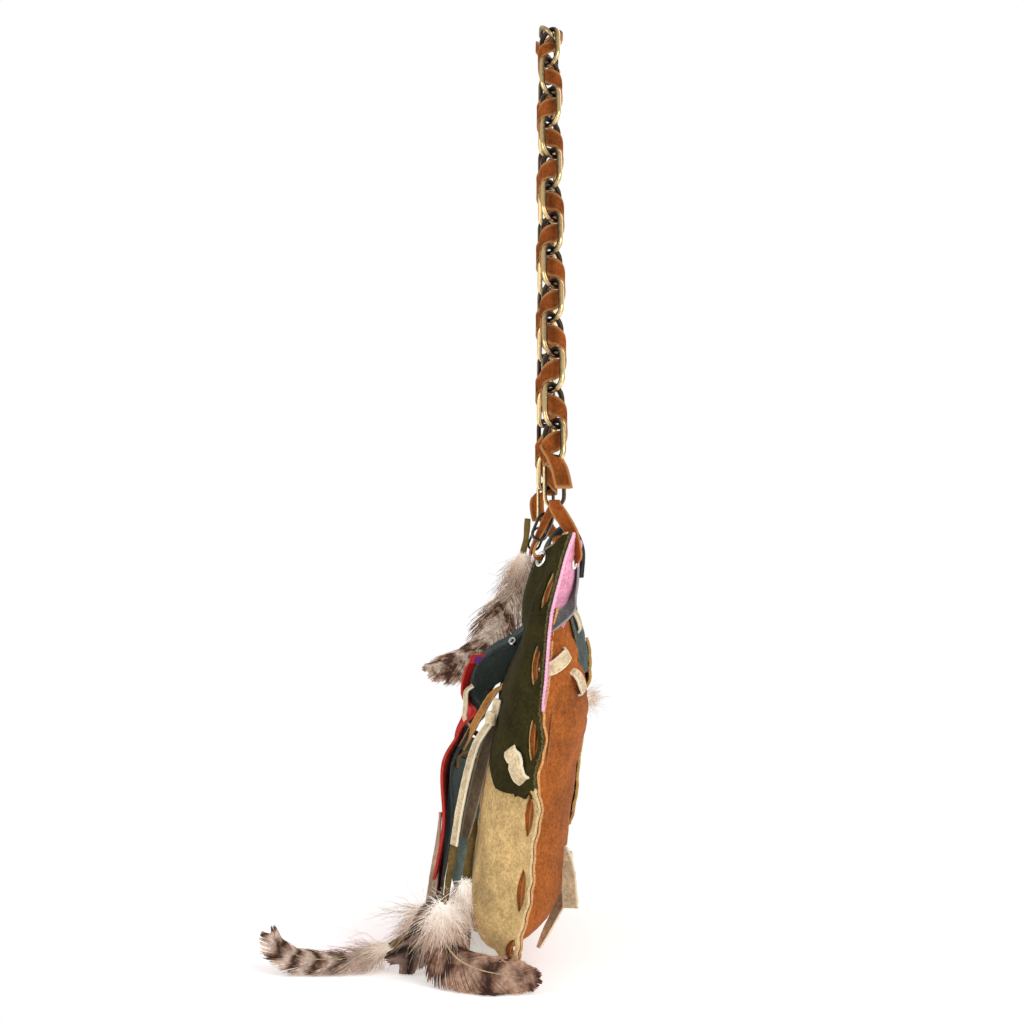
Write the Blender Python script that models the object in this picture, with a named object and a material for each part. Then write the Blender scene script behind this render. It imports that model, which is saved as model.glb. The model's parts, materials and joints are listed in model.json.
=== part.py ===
"""Suede shoulder bag with a chain strap and a woven suede lace.

Lengths are millimetres and are scaled to metres when a mesh is made. The part hangs from its
origin, the underside of the top link. X runs along the bag, -Y is the front, +Z is up. Points on
the bag itself are given from the middle of its base, under the strap.
"""
import math

import bmesh
import bpy
import numpy as np

MM = 0.001

# Clearances and sheets
GAP = 0.3
SUEDE = 1.6
PATCH_LIFT = 1.0
LACE_THICK = 1.4

# Chain strap
LINK_PITCH = 23.1
LINK_WIRE = 3.2
LINK_WIDTH = 17.0
LINKS_PER_RUN = 13
APEX_SLACK = 1.5
RING_SLACK = 1.32
RING_WIRE = 2.4
RING_HEIGHT = 30.0
RING_WIDTH = 13.0
RING_INSET = 12.0
STRAP_LACE_WIDTH = 8.5
WEAVE_SIDEWAYS = 8.5
WEAVE_DEPTH = 4.5
APEX_EXTRA = 3.2
APEX_PINCH = 0.5
WEAVE_STEPS = 6

# Square cut lace ends beside the end rings, from the joint of link and ring: near, then far
NEAR_TAB = ((7.0, 8.4, -5.0), (7.0, 4.5, -13.0), (7.0, 2.5, -24.0))
FAR_TAB = ((-7.2, -9.2, -5.0), (-7.0, -6.5, -13.0), (-7.0, -4.5, -24.0))

# Bag body
PANEL_COLUMNS = 31
COLUMN_SPACING = 30.0
BEND_COLUMNS = 20.0
BAG_HEIGHT = 247.0
BASE_HALF_WIDTH = 150.0
MOUTH_HALF_WIDTH = 138.0
CORNER_HEIGHT = 60.0
CORNER_ROUNDNESS = 4.0
FLANGE = 11.0
BULGE_RISE = 46.0
SEAM_LEAN = ((0.0, -23.0), (0.04, -22.0), (0.16, -15.0), (0.32, -10.4), (0.49, -7.0),
             (0.65, -4.0), (0.81, 0.5), (1.0, 10.0))
SEAM_TURN = ((0.0, 11.0), (0.6, 11.0), (0.7, 9.5), (0.76, 8.0), (0.82, 6.3), (0.9, 5.5), (1.0, 5.0))
SEAM_GAP = 0.43
FRONT_BULGE = ((0.0, 18.0), (0.12, 21.0), (0.32, 20.0), (0.455, 18.5), (0.51, 15.5), (0.56, 12.5),
               (0.66, 8.0), (0.71, 4.5), (0.76, 1.2), (0.82, 0.5), (1.0, 0.3))
BACK_BULGE = ((0.0, 32.0), (0.05, 32.0), (0.15, 29.0), (0.24, 28.0), (0.445, 30.0), (0.6, 32.0),
              (0.7, 30.5), (0.76, 26.5), (0.845, 17.0), (0.95, 10.2), (1.0, 7.5))

# Mouth edges, from one end to the middle: shares of the base's half width and of the height
FRONT_MOUTH = ((0.613, 0.899), (0.58, 0.83), (0.533, 0.737), (0.48, 0.688), (0.267, 0.68), (0.0, 0.68))
BACK_MOUTH = ((0.64, 0.992), (0.4, 0.98), (0.0, 0.972))

# Share of the way from the seam to the mouth at each row of points
FRONT_ROWS = (0.0, 0.05, 0.12, 0.22, 0.36, 0.56, 0.78, 1.0)
BACK_ROWS = (0.0, 0.045, 0.1, 0.18, 0.31, 0.48, 0.64, 0.78, 0.87, 1.0)

# Corner hardware
EYELET_INSET = 20.0
EYELET_DROP = 16.0
BARREL_WALL = 0.8
EYELET_LIP = 0.9
EYELET_HOLE = 5.4
EYELET_OUTER = 9.4
RING_ABOVE_BAG = 19.5
CORNER_LACE_WIDTH = 3.4
CORNER_LACE_THICK = 1.8
CORNER_LINK_LENGTH = 19.0
CORNER_LINK_WIDTH = 9.6
CORNER_LINK_LEAN = 4.2
CORNER_LINK_WIRE = 1.7
CORNER_LACE_STEPS = 32

# Seam lacing
STITCH_PITCH = 41.0
SLIT_LENGTH = 24.0
SLIT_WIDTH = 5.6
SEAM_LACE_WIDTH = 4.0
SEAM_LACE_THICK = 1.2
STITCH_ARCH = 1.2
STITCH_CREST = 3.0
STITCH_FOOT = 8.5
LACING_INSET = 5.6
SLIT_REACH = 8.0

# Front pocket, with its top and base as shares of the height
POCKET_HALF_WIDTH = 72.0
POCKET_TOP = 0.47
POCKET_BASE = 0.057
POCKET_FULLNESS = 17.0
POCKET_LIP = 0.25
POCKET_CORNER_RISE = 10.0

# Flap: middle line from the back of the bag to the free end, as depth and share of the height,
# then half widths along it
FLAP_LINE = ((17.5, 0.9), (16.7, 0.964), (11.0, 1.012), (3.0, 1.008), (-3.0, 0.955), (-8.0, 0.875),
             (-13.5, 0.8), (-22.0, 0.75), (-34.0, 0.722), (-44.0, 0.686), (-47.5, 0.626),
             (-47.0, 0.573), (-51.0, 0.514), (-58.3, 0.449), (-61.2, 0.364), (-62.5, 0.263),
             (-64.0, 0.162), (-66.0, 0.065))
FLAP_HALF_WIDTH = ((0.0, 84.0), (0.22, 78.0), (0.45, 66.0), (0.56, 76.0), (0.7, 88.0), (0.84, 82.0),
                   (0.94, 58.0), (1.0, 30.0))
FLAP_EDGE_FALL = 7.0
FLAP_WIDEST = 88.0
RED_START = 0.56
RED_END = 0.985
RED_INSET = 5.0
PURPLE_START, PURPLE_END = 0.47, 0.545
PURPLE_INSET = 6.0

# Patches: places from the end of the mouth inward, and for each its lower and upper edge
PATCH_PLACES = (12.0, 17.0, 23.0, 31.0, 41.0, 54.0, 68.0)
OLIVE_EDGES = ((0.4, 0.96), (0.41, 0.957), (0.425, 0.945), (0.44, 0.925), (0.455, 0.895),
               (0.48, 0.753), (0.5, 0.66))
PINK_EDGES = ((0.69, 0.972), (0.72, 0.976), (0.75, 0.976), (0.775, 0.974), (0.79, 0.97))
BACK_PATCH_HALF_WIDTH = 84.0
SLATE_LOWER_EDGE = ((-84.0, 0.688), (-30.0, 0.672), (20.0, 0.684), (84.0, 0.668))
SLATE_TOP = 0.866
SLATE_DROP = 0.008
GOLD_BASE = 0.316
GOLD_WAVE = 0.024
GOLD_WAVE_LENGTH = 30.0
PATCH_JOINT = 2.5

# Laces
TIE_WIDTH = 7.0
KNOT_INSET = 40.0
KNOT_Z = 0.579
KNOT_WIDTH = 6.0
TIE_RISE = 10.0
TIE_LOOSE = 1.0
TIE_FALL = ((1.0, -9.0, -14.0), (2.0, -14.0, -30.0), (2.0, -18.5, -51.0), (2.0, -21.5, -70.5))
HANGING_LACE_WIDTH = 6.5
GREY_LACE_WIDTH = 7.0
BASE_LACE_WIDTH = 9.5
BASE_TAPER = ((0.0, 1.0), (0.45, 1.0), (0.6, 0.8), (1.0, 0.35))
LACE_CLEARANCE = 0.15

# Routes of laces: place in from the end of the base, share of the height, distance off the panel;
# on the flap: share of its greatest half width, share of the height, looseness
GREY_ROUTE = ((39.0, 0.919, 9.0), (37.0, 0.887, 8.5), (34.0, 0.846, 7.8), (29.0, 0.814, 7.8),
              (23.0, 0.789, 7.0), (19.0, 0.765, 5.5))
BASE_ROUTE = ((62.0, 0.267, 4.0), (59.0, 0.21, 3.4), (55.0, 0.154, 3.4), (48.0, 0.105, 3.6),
              (38.0, 0.057, 5.0))
HANGING_ROUTE = ((0.64, 0.34, 0.0), (0.68, 0.267, 0.6), (0.75, 0.186, 2.0), (0.86, 0.13, 3.6),
                 (0.99, 0.103, 6.6))

# Feathers. The upper one is given as place in from the far ring, depth and drop below the swing
# axis; vanes that reach the ground as place in from the end of the base, depth and share of the
# height; the rest as offsets from the top of the sleeve
SLEEVE_RADIUS = 2.1
QUILL_RADIUS = 0.8
VANE_THICK = 1.0
QUILL_START = 0.6
UPPER_SLEEVE = ((5.0, -12.6, 2.5), (6.0, -13.8, 16.5), (8.0, -16.2, 27.5))
UPPER_VANE = ((9.5, -19.5, 33.5), (18.0, -30.0, 53.5), (28.0, -50.0, 75.5), (38.0, -70.0, 94.5),
              (44.0, -83.0, 106.5))
UPPER_WIDTHS = (3.0, 14.0, 30.0, 40.0, 44.0, 38.0, 24.0, 6.0)
FRONT_SLEEVE = ((0.05, -0.1, -0.45), (1.0, -3.0, -17.5), (1.5, -6.0, -33.5))
FRONT_VANE = ((34.0, -60.0, 0.13), (27.0, -59.0, 0.083), (15.0, -53.0, 0.045), (4.0, -42.0, 0.026),
              (-2.0, -28.0, 0.02), (0.0, -14.0, 0.026))
FRONT_WIDTHS = (3.0, 13.0, 20.0, 24.0, 24.0, 21.0, 15.0, 8.0, 3.0)
DARK_SLEEVE = ((-3.8, -3.6, -17.5), (-3.4, -5.6, -28.5))
DARK_VANE = ((43.6, -65.8, 0.155), (45.0, -74.0, 0.081), (48.0, -87.0, 0.02))
DARK_WIDTHS = (3.0, 12.0, 18.0, 14.0, 3.0)
SIDE_FEATHER_INSET = 49.0
SIDE_FEATHER_TOP = 0.344
SIDE_SLEEVE = ((0.0, 0.0, 0.0), (0.5, -2.4, -17.0), (1.0, -4.9, -34.0))
SIDE_VANE = ((1.0, -7.4, -39.0), (1.5, -8.9, -55.0), (2.0, -10.4, -75.0))
SIDE_WIDTHS = (3.0, 10.0, 14.0, 11.0, 3.0)
FLOOR_SLEEVE = ((1.0, -2.0, -1.0), (2.0, -11.5, -8.0), (3.0, -19.5, -13.5))
FLOOR_VANE = ((59.0, -99.0, 0.038), (57.0, -118.0, 0.024), (56.0, -138.0, 0.026),
              (58.0, -152.0, 0.045), (61.0, -161.0, 0.081))
FLOOR_WIDTHS = (4.0, 22.0, 30.0, 30.0, 26.0, 18.0, 4.0)


def smooth(knots):
    """Monotone curve through (position, value) pairs that stays level beyond both ends."""
    xs, ys = np.array(sorted(knots), dtype=float).T
    step = np.diff(xs)
    slope = np.diff(ys) / step
    tangent = np.zeros(len(xs))
    tangent[0], tangent[-1] = slope[0], slope[-1]
    for i in range(1, len(xs) - 1):
        if slope[i - 1] * slope[i] > 0:
            before, after = 2 * step[i] + step[i - 1], step[i] + 2 * step[i - 1]
            tangent[i] = (before + after) / (before / slope[i - 1] + after / slope[i])

    def value(x):
        x = np.clip(np.asarray(x, dtype=float), xs[0], xs[-1])
        i = np.clip(np.searchsorted(xs, x, side="right") - 1, 0, len(xs) - 2)
        t = (x - xs[i]) / step[i]
        return (ys[i] * (2 * t ** 3 - 3 * t ** 2 + 1) + ys[i + 1] * (3 * t ** 2 - 2 * t ** 3)
                + step[i] * (tangent[i] * (t ** 3 - 2 * t ** 2 + t) + tangent[i + 1] * (t ** 3 - t ** 2)))
    return value


def unit(vectors):
    """Vectors scaled to length one."""
    vectors = np.asarray(vectors, dtype=float)
    return vectors / np.linalg.norm(vectors, axis=-1, keepdims=True)


def along(points, count=None, at=None, closed=False):
    """Points read from a smooth curve through the given ones, evenly spaced or at given shares."""
    points = np.asarray(points, dtype=float)
    if closed:
        points = np.vstack([points[-3:], points, points[:4]])
    ends = (points[0] * 2 - points[1], points[-1] * 2 - points[-2])
    padded = np.vstack([ends[0], points, ends[1]])
    fine = []
    for a, b, c, d in zip(padded, padded[1:], padded[2:], padded[3:]):
        t = np.linspace(0, 1, 16, endpoint=False)[:, None]
        fine.append(0.5 * (2 * b + (c - a) * t + (2 * a - 5 * b + 4 * c - d) * t ** 2
                           + (3 * b - a - 3 * c + d) * t ** 3))
    if closed:
        fine = fine[3:-3]
    fine = np.vstack(fine + ([] if closed else [points[-1:]]))
    if closed:
        fine = np.vstack([fine, fine[:1]])
    run = np.concatenate([[0], np.cumsum(np.linalg.norm(np.diff(fine, axis=0), axis=1))])
    if at is None:
        at = np.linspace(0, 1, count, endpoint=not closed)
    where = np.asarray(at) * run[-1]
    return np.stack([np.interp(where, run, fine[:, k]) for k in range(points.shape[1])], axis=1)


def directions(points, closed=False):
    """Unit tangents of a run of points."""
    if closed:
        return unit(np.roll(points, -1, axis=0) - np.roll(points, 1, axis=0))
    return unit(np.gradient(points, axis=0))


def material(name, colour, roughness=0.9, metallic=0.0):
    """Principled material with one colour."""
    made = bpy.data.materials.new(name)
    made.use_nodes = True
    shader = made.node_tree.nodes["Principled BSDF"]
    shader.inputs["Base Color"].default_value = (*colour, 1.0)
    shader.inputs["Roughness"].default_value = roughness
    shader.inputs["Metallic"].default_value = metallic
    return made


def add_object(name, vertices, faces, look, parent, offset=(0.0, 0.0, 0.0), round_shading=True):
    """Mesh object with its faces turned outward, placed under a parent empty."""
    mesh = bpy.data.meshes.new(name)
    mesh.from_pydata([tuple(np.asarray(v) * MM) for v in vertices], [], faces)
    shape = bmesh.new()
    shape.from_mesh(mesh)
    bmesh.ops.recalc_face_normals(shape, faces=shape.faces)
    shape.to_mesh(mesh)
    shape.free()
    if round_shading:
        mesh.shade_smooth()
        mesh.set_sharp_from_angle(angle=math.radians(40))
    mesh.materials.append(look)
    made = bpy.data.objects.new(name, mesh)
    bpy.context.scene.collection.objects.link(made)
    made.parent = parent
    made.location = np.asarray(offset) * MM
    return made


def tube_faces(stations, sides, closed=False):
    """Faces of a tube of rings, capped unless it closes on itself."""
    faces = []
    for i in range(stations if closed else stations - 1):
        j = (i + 1) % stations
        for k in range(sides):
            n = (k + 1) % sides
            faces.append((i * sides + k, i * sides + n, j * sides + n, j * sides + k))
    if not closed:
        faces.append(tuple(range(sides)))
        faces.append(tuple((stations - 1) * sides + k for k in reversed(range(sides))))
    return faces


def ribbon(points, across, width, thick, closed=False):
    """Flat strip of rectangular section; across gives the direction of its width."""
    heading = directions(points, closed)
    across = across - np.sum(across * heading, axis=1, keepdims=True) * heading
    across = unit(across)
    normal = np.cross(heading, across)
    half = np.broadcast_to(np.asarray(width, dtype=float) / 2, len(points))[:, None]
    corners = [points + across * half * a + normal * thick / 2 * b
               for a, b in ((-1, -1), (1, -1), (1, 1), (-1, 1))]
    vertices = np.stack(corners, axis=1).reshape(-1, 3)
    return vertices, tube_faces(len(points), 4, closed)


def sheet(grid, thick, away):
    """Closed sheet from a grid of points, thickened away from a point function's side."""
    rows, columns, _ = grid.shape
    du = np.gradient(grid, axis=1)
    dv = np.gradient(grid, axis=0)
    normal = unit(np.cross(du, dv))
    flip = np.sign(np.sum(normal * away, axis=2, keepdims=True))
    flip[flip == 0] = 1
    outer = grid + normal * flip * thick
    vertices = np.vstack([grid.reshape(-1, 3), outer.reshape(-1, 3)])
    count = rows * columns
    faces = []
    for i in range(rows - 1):
        for j in range(columns - 1):
            a = i * columns + j
            faces.append((a, a + 1, a + columns + 1, a + columns))
            faces.append(tuple(count + k for k in (a + columns, a + columns + 1, a + 1, a)))
    edge = ([j for j in range(columns)] + [i * columns + columns - 1 for i in range(1, rows)]
            + [(rows - 1) * columns + j for j in reversed(range(columns - 1))]
            + [i * columns for i in reversed(range(1, rows - 1))])
    for a, b in zip(edge, edge[1:] + edge[:1]):
        faces.append((a, b, b + count, a + count))
    return vertices, faces


# Seam surface and panel surfaces

seam_lean = smooth(SEAM_LEAN)
seam_turn = smooth(SEAM_TURN)
front_bulge = smooth(FRONT_BULGE)
back_bulge = smooth(BACK_BULGE)


def seam_y(z):
    """Where the seam's outer edge stands, from the base up."""
    return seam_lean(np.asarray(z) / BAG_HEIGHT)


def outline(count):
    """The bag's outline from the near end of the mouth, round the base, to the far end."""
    rise = np.linspace(0, 1, 40)
    side_z = BAG_HEIGHT - (BAG_HEIGHT - CORNER_HEIGHT) * rise
    side_x = BASE_HALF_WIDTH - (BASE_HALF_WIDTH - MOUTH_HALF_WIDTH) * (1 - rise) ** 2
    turn = np.linspace(0, math.pi / 2, 60)[1:]
    power = 2 / CORNER_ROUNDNESS
    corner_x = BASE_HALF_WIDTH * np.clip(np.cos(turn), 0, 1) ** power
    corner_z = CORNER_HEIGHT * (1 - np.sin(turn) ** power)
    half = np.stack([np.append(side_x, corner_x), np.append(side_z, corner_z)], axis=1)
    whole = np.vstack([half, half[-2::-1] * (-1, 1)])
    run = np.concatenate([[0], np.cumsum(np.linalg.norm(np.diff(whole, axis=0), axis=1))])
    where = np.linspace(0, run[-1], count)
    return np.stack([np.interp(where, run, whole[:, k]) for k in range(2)], axis=1), run[-1]


OUTLINE, OUTLINE_LENGTH = outline(360)


def inset_outline(distance, at):
    """Points at a distance inside the outline, at given lengths along it."""
    heading = np.gradient(OUTLINE, axis=0)
    inward = unit(np.stack([heading[:, 1], -heading[:, 0]], axis=1))
    inner = OUTLINE + inward * distance
    run = np.linspace(0, OUTLINE_LENGTH, len(OUTLINE))
    return np.stack([np.interp(at, run, inner[:, k]) for k in range(2)], axis=1)


def from_edge(x, z):
    """Distance of a point from the bag's outline."""
    x, z = np.broadcast_arrays(np.asarray(x, dtype=float), np.asarray(z, dtype=float))
    points = np.stack([x.ravel(), z.ravel()], axis=1)
    return np.linalg.norm(points[:, None] - OUTLINE[None], axis=2).min(axis=1).reshape(x.shape)


def flange_y(x, z):
    """Where the two panels meet: from the outer edge the flange turns forward as it goes inward."""
    return seam_y(z) - seam_turn(np.asarray(z) / BAG_HEIGHT) * np.clip(from_edge(x, z) / FLANGE, 0, 1)


def swell(x, z):
    """Share of the full bulge at a point, from 0 on the flange to 1 in the middle."""
    t = np.clip((from_edge(x, z) - FLANGE) / BULGE_RISE, 0, 1)
    return (1 - (1 - t) ** 2.2) ** (1 / 1.6)


def front_y(x, z):
    """Inner face of the front panel."""
    return flange_y(x, z) - SEAM_GAP / 2 - front_bulge(np.asarray(z) / BAG_HEIGHT) * swell(x, z)


def back_y(x, z):
    """Inner face of the back panel."""
    return flange_y(x, z) + SEAM_GAP / 2 + back_bulge(np.asarray(z) / BAG_HEIGHT) * swell(x, z)


def mouth_edge(knots, count):
    """Mouth edge points from the near end to the far end, evenly spaced."""
    half = np.array(knots) * (BASE_HALF_WIDTH, BAG_HEIGHT)
    whole = np.vstack([half, half[-2::-1] * (-1, 1)])
    return along(whole, count)


def panel_grid(mouth, surface_y, shares):
    """Grid that fans from the seam to the mouth edge, with the flange as its outer row."""
    run = np.linspace(0, OUTLINE_LENGTH, len(OUTLINE))
    bend = np.linalg.norm(np.gradient(unit(np.gradient(OUTLINE, axis=0)), axis=0), axis=1)
    at_bends = bend / bend.mean() * BEND_COLUMNS / OUTLINE_LENGTH
    crowding = np.cumsum(1 / COLUMN_SPACING + at_bends)
    crowding = (crowding - crowding[0]) / (crowding[-1] - crowding[0])
    at = np.interp(np.linspace(0, 1, PANEL_COLUMNS), crowding, run)
    edge = inset_outline(0.0, at)
    inner = inset_outline(FLANGE, at)
    top = mouth_edge(mouth, PANEL_COLUMNS)
    rows = [edge] + [inner + (top - inner) * share for share in shares]
    flat = np.array(rows)
    y = surface_y(flat[..., 0], flat[..., 1])
    return np.stack([flat[..., 0], y, flat[..., 1]], axis=2)


def lifted(grid, side, lift):
    """Grid moved off its surface by a distance, towards the front or the back."""
    normal = unit(np.cross(np.gradient(grid, axis=1), np.gradient(grid, axis=0)))
    flip = np.where(normal[..., 1:2] * side < 0, -1.0, 1.0)
    return grid + normal * flip * lift


def overlay_grid(surface_y, columns_x, edges, rows):
    """Grid on a panel: each column has a lower and an upper edge, as shares of the bag's height."""
    x = np.array(columns_x, dtype=float)
    low, high = np.array(edges).T * BAG_HEIGHT
    grid = []
    for share in np.linspace(0, 1, rows):
        z = low + (high - low) * share
        grid.append(np.stack([x, surface_y(x, z), z], axis=1))
    return np.array(grid)


def overlay(surface_y, side, columns_x, edges, rows):
    """Sheet that lies over a panel with a small clearance."""
    grid = lifted(overlay_grid(surface_y, columns_x, edges, rows), side, SUEDE + PATCH_LIFT)
    return sheet(grid, SUEDE, (0.0, side, 0.0))


# Start with an empty scene

for old in list(bpy.data.objects):
    bpy.data.objects.remove(old, do_unlink=True)

SAND = material("sand_suede", (0.56, 0.40, 0.19))
RUST = material("rust_suede", (0.36, 0.10, 0.02))
OLIVE = material("olive_suede", (0.035, 0.036, 0.012))
PINK = material("pink_suede", (0.69, 0.27, 0.46))
SLATE = material("slate_suede", (0.05, 0.063, 0.058))
DARK = material("dark_suede", (0.012, 0.014, 0.017))
GOLD = material("gold_suede", (0.39, 0.19, 0.03))
RED = material("red_suede", (0.30, 0.02, 0.02))
PURPLE = material("purple_suede", (0.09, 0.03, 0.16))
CREAM = material("cream_lace", (0.70, 0.58, 0.40))
GREY = material("grey_lace", (0.23, 0.21, 0.19))
LACE = material("brown_lace", (0.25, 0.06, 0.012))
BRASS = material("aged_brass", (0.55, 0.36, 0.14), 0.35, 1.0)
NICKEL = material("nickel", (0.6, 0.6, 0.6), 0.3, 1.0)
FEATHER = material("barred_feather", (0.25, 0.17, 0.12))

# Chain geometry worked out from the link and the ring

contact = (LINK_WIRE + GAP) / 2
half_link = LINK_PITCH / 2 + contact
apex_reach = half_link - contact * APEX_SLACK
ring_contact = (LINK_WIRE / 2 + RING_WIRE / 2 + GAP) / 2 * RING_SLACK
RING_X = MOUTH_HALF_WIDTH - RING_INSET
run_length = apex_reach + LINK_PITCH * (LINKS_PER_RUN - 1) + half_link - ring_contact
run_sine = (RING_X - apex_reach) / run_length
run_cosine = math.sqrt(1 - run_sine ** 2)
bar_offset = (LINK_WIDTH - LINK_WIRE) / 2
APEX_Z = bar_offset * math.sqrt(0.5) + LINK_WIRE / 2
run_heading = np.array([run_sine, 0.0, -run_cosine])
run_outward = np.array([run_cosine, 0.0, run_sine])
ring_joint = np.array([apex_reach, 0.0, APEX_Z]) + run_heading * run_length
ring_half = (RING_HEIGHT - RING_WIRE) / 2
ring_arc = (RING_WIDTH - RING_WIRE) / 2
ring_centre = ring_joint + np.array([0.0, 0.0, ring_contact - ring_half])
AXIS_Z = ring_centre[2] - ring_half + ring_arc
AXIS_HEIGHT = BAG_HEIGHT + RING_ABOVE_BAG

hang_point = bpy.data.objects.new("hang_point", None)
swing_axis = bpy.data.objects.new("swing_axis", None)
swing_axis.location = (0.0, 0.0, AXIS_Z * MM)
for empty in (hang_point, swing_axis):
    bpy.context.scene.collection.objects.link(empty)
    empty.empty_display_size = 0.02
swing_axis.parent = hang_point


def strap_piece(name, vertices, faces, look):
    """Piece that stays with the strap."""
    return add_object(name, vertices, faces, look, hang_point)


def bag_piece(name, vertices, faces, look):
    """Piece that swings with the bag, given from the middle of the bag's base."""
    return add_object(name, vertices, faces, look, swing_axis, (0.0, 0.0, -AXIS_HEIGHT))


def oval(half_length, half_width, wire, arc_steps=4, sides=5):
    """Closed oval of round wire in the plane of its first two axes."""
    straight = half_length - half_width
    ring = []
    for end in (1, -1):
        for step in range(arc_steps + 1):
            angle = math.pi * step / arc_steps - math.pi / 2
            outward = np.array([end * math.cos(angle), end * math.sin(angle), 0.0])
            ring.append((outward * half_width + (end * straight, 0.0, 0.0), outward))
    vertices = []
    for centre, outward in ring:
        for k in range(sides):
            turn = 2 * math.pi * (k + 0.5) / sides
            vertices.append(centre + wire / 2 * (outward * math.cos(turn)
                                                 + np.array([0.0, 0.0, math.sin(turn)])))
    return np.array(vertices), tube_faces(len(ring), sides, closed=True)


def turned(vertices, along_axis, width_axis, centre):
    """Vertices of a part set with its length and width along two directions."""
    along_axis, width_axis = unit(along_axis), unit(width_axis)
    frame = np.stack([along_axis, width_axis, np.cross(along_axis, width_axis)])
    return vertices @ frame + centre


def mirrored(vertices):
    """Vertices mirrored to the far end of the bag."""
    return np.asarray(vertices) * (-1.0, 1.0, 1.0)


# Chain

link_shape, link_faces = oval(half_link, bar_offset, LINK_WIRE)
SIDEWAYS = np.array([0.0, 1.0, 0.0])


def link_centre(index):
    """Centre, heading and outward direction of a link, counted from the top to either end."""
    if index == 0:
        return np.array([0.0, 0.0, APEX_Z]), np.array([1.0, 0.0, 0.0]), np.array([0.0, 0.0, 1.0])
    reach = apex_reach + LINK_PITCH * (abs(index) - 1)
    centre = np.array([apex_reach, 0.0, APEX_Z]) + run_heading * reach
    if index > 0:
        return centre, run_heading, run_outward
    return centre * (-1, 1, 1), run_heading * (1, 1, -1), run_outward * (-1, 1, 1)


for number, index in enumerate(range(-LINKS_PER_RUN, LINKS_PER_RUN + 1), start=1):
    centre, heading, outward = link_centre(index)
    lean = SIDEWAYS if index % 2 else -SIDEWAYS
    strap_piece(f"chain_link_{number:02d}", turned(link_shape, heading, outward + lean, centre),
                link_faces, BRASS)

ring_shape, ring_faces = oval(ring_half, ring_arc, RING_WIRE, arc_steps=6)
ring_points = turned(ring_shape, (0.0, 0.0, 1.0), (0.0, 1.0, 0.0), ring_centre)
strap_piece("end_ring_near", ring_points, ring_faces, BRASS)
strap_piece("end_ring_far", mirrored(ring_points), ring_faces, BRASS)


# Lace woven through the chain

def weave_point(place):
    """Point of the lace, with its place counted in links from the top one."""
    side = 1 if place >= 0 else -1
    far = abs(place)
    joint = np.array([apex_reach, 0.0, APEX_Z])
    if far <= 0.5:
        base = np.array([2 * far * apex_reach, 0.0, APEX_Z])
    elif far <= 1.0:
        base = joint + run_heading * apex_reach * 2 * (far - 0.5)
    else:
        base = joint + run_heading * (apex_reach + LINK_PITCH * (far - 1))
    blend = np.clip((far - 0.3) / 0.4, 0, 1)
    outward = unit(np.array([0.0, 0.0, 1.0]) * (1 - blend) + run_outward * blend)
    mirror = np.array([side, 1.0, 1.0])
    spread = WEAVE_SIDEWAYS + APEX_EXTRA * math.exp(-((far - 0.5) / 0.3) ** 2)
    return (base * mirror - SIDEWAYS * spread * math.sin(math.pi * place)
            - outward * mirror * WEAVE_DEPTH * math.sin(2 * math.pi * place))


last_place = LINKS_PER_RUN + 0.5
places = np.linspace(-last_place, last_place, int(2 * last_place * WEAVE_STEPS) + 1)
weave = np.array([weave_point(place) for place in places])
near_tab = ring_joint + np.array(NEAR_TAB)
far_tab = ring_joint * (-1, 1, 1) + np.array(FAR_TAB)
weave = np.vstack([far_tab[::-1], weave, near_tab])
rise = np.sign(weave[:, :1]) * run_heading
rise[np.abs(weave[:, 0]) < apex_reach] = (1.0, 0.0, 0.0)
rise[:, 2] = -np.abs(rise[:, 2]) * np.sign(weave[:, 0])
for end in (slice(0, 3), slice(-3, None)):
    rise[end] = SIDEWAYS
pinch = 1 - APEX_PINCH * np.exp(-(weave[:, 0] / (2.2 * apex_reach)) ** 4)
points, faces = ribbon(weave, rise, STRAP_LACE_WIDTH * pinch, LACE_THICK)
strap_piece("strap_lace", points, faces, LACE)


# Panels with their lacing slits and eyelet holes

def cutter(name, vertices, faces):
    """Closed shape that only cuts others."""
    made = add_object(name, vertices, faces, DARK, swing_axis, (0.0, 0.0, -AXIS_HEIGHT), False)
    made.hide_render = True
    made.display_type = "WIRE"
    return made


def cut(target, tool):
    """Take one shape out of another."""
    step = target.modifiers.new("cut", "BOOLEAN")
    step.operation = "DIFFERENCE"
    step.solver = "EXACT"
    step.object = tool


def surface_normal(surface_y, x, z, side):
    """Outward direction of a panel at a point."""
    step = 2.0
    slope_x = float(surface_y(x + step, z) - surface_y(x - step, z)) / (2 * step)
    slope_z = float(surface_y(x, z + step) - surface_y(x, z - step)) / (2 * step)
    return unit(np.array([-slope_x, 1.0, -slope_z]) * side)


def seam_frame(length):
    """Point on the lacing line at a length of the seam, with its heading and outward normal."""
    here, ahead = inset_outline(LACING_INSET, [length - 1.0, length + 1.0])
    x, z = (here + ahead) / 2
    rise = float(flange_y(*ahead) - flange_y(*here))
    heading = unit(np.array([ahead[0] - here[0], rise, ahead[1] - here[1]]))
    facing = surface_normal(flange_y, x, z, -1)
    facing = unit(facing - heading * np.dot(facing, heading))
    return np.array([x, float(flange_y(x, z)), z]), heading, facing


stitches = int((OUTLINE_LENGTH - SLIT_LENGTH) / STITCH_PITCH)
first_stitch = (OUTLINE_LENGTH - (stitches - 1) * STITCH_PITCH) / 2
stitch_places = [first_stitch + STITCH_PITCH * i for i in range(stitches)]

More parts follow.
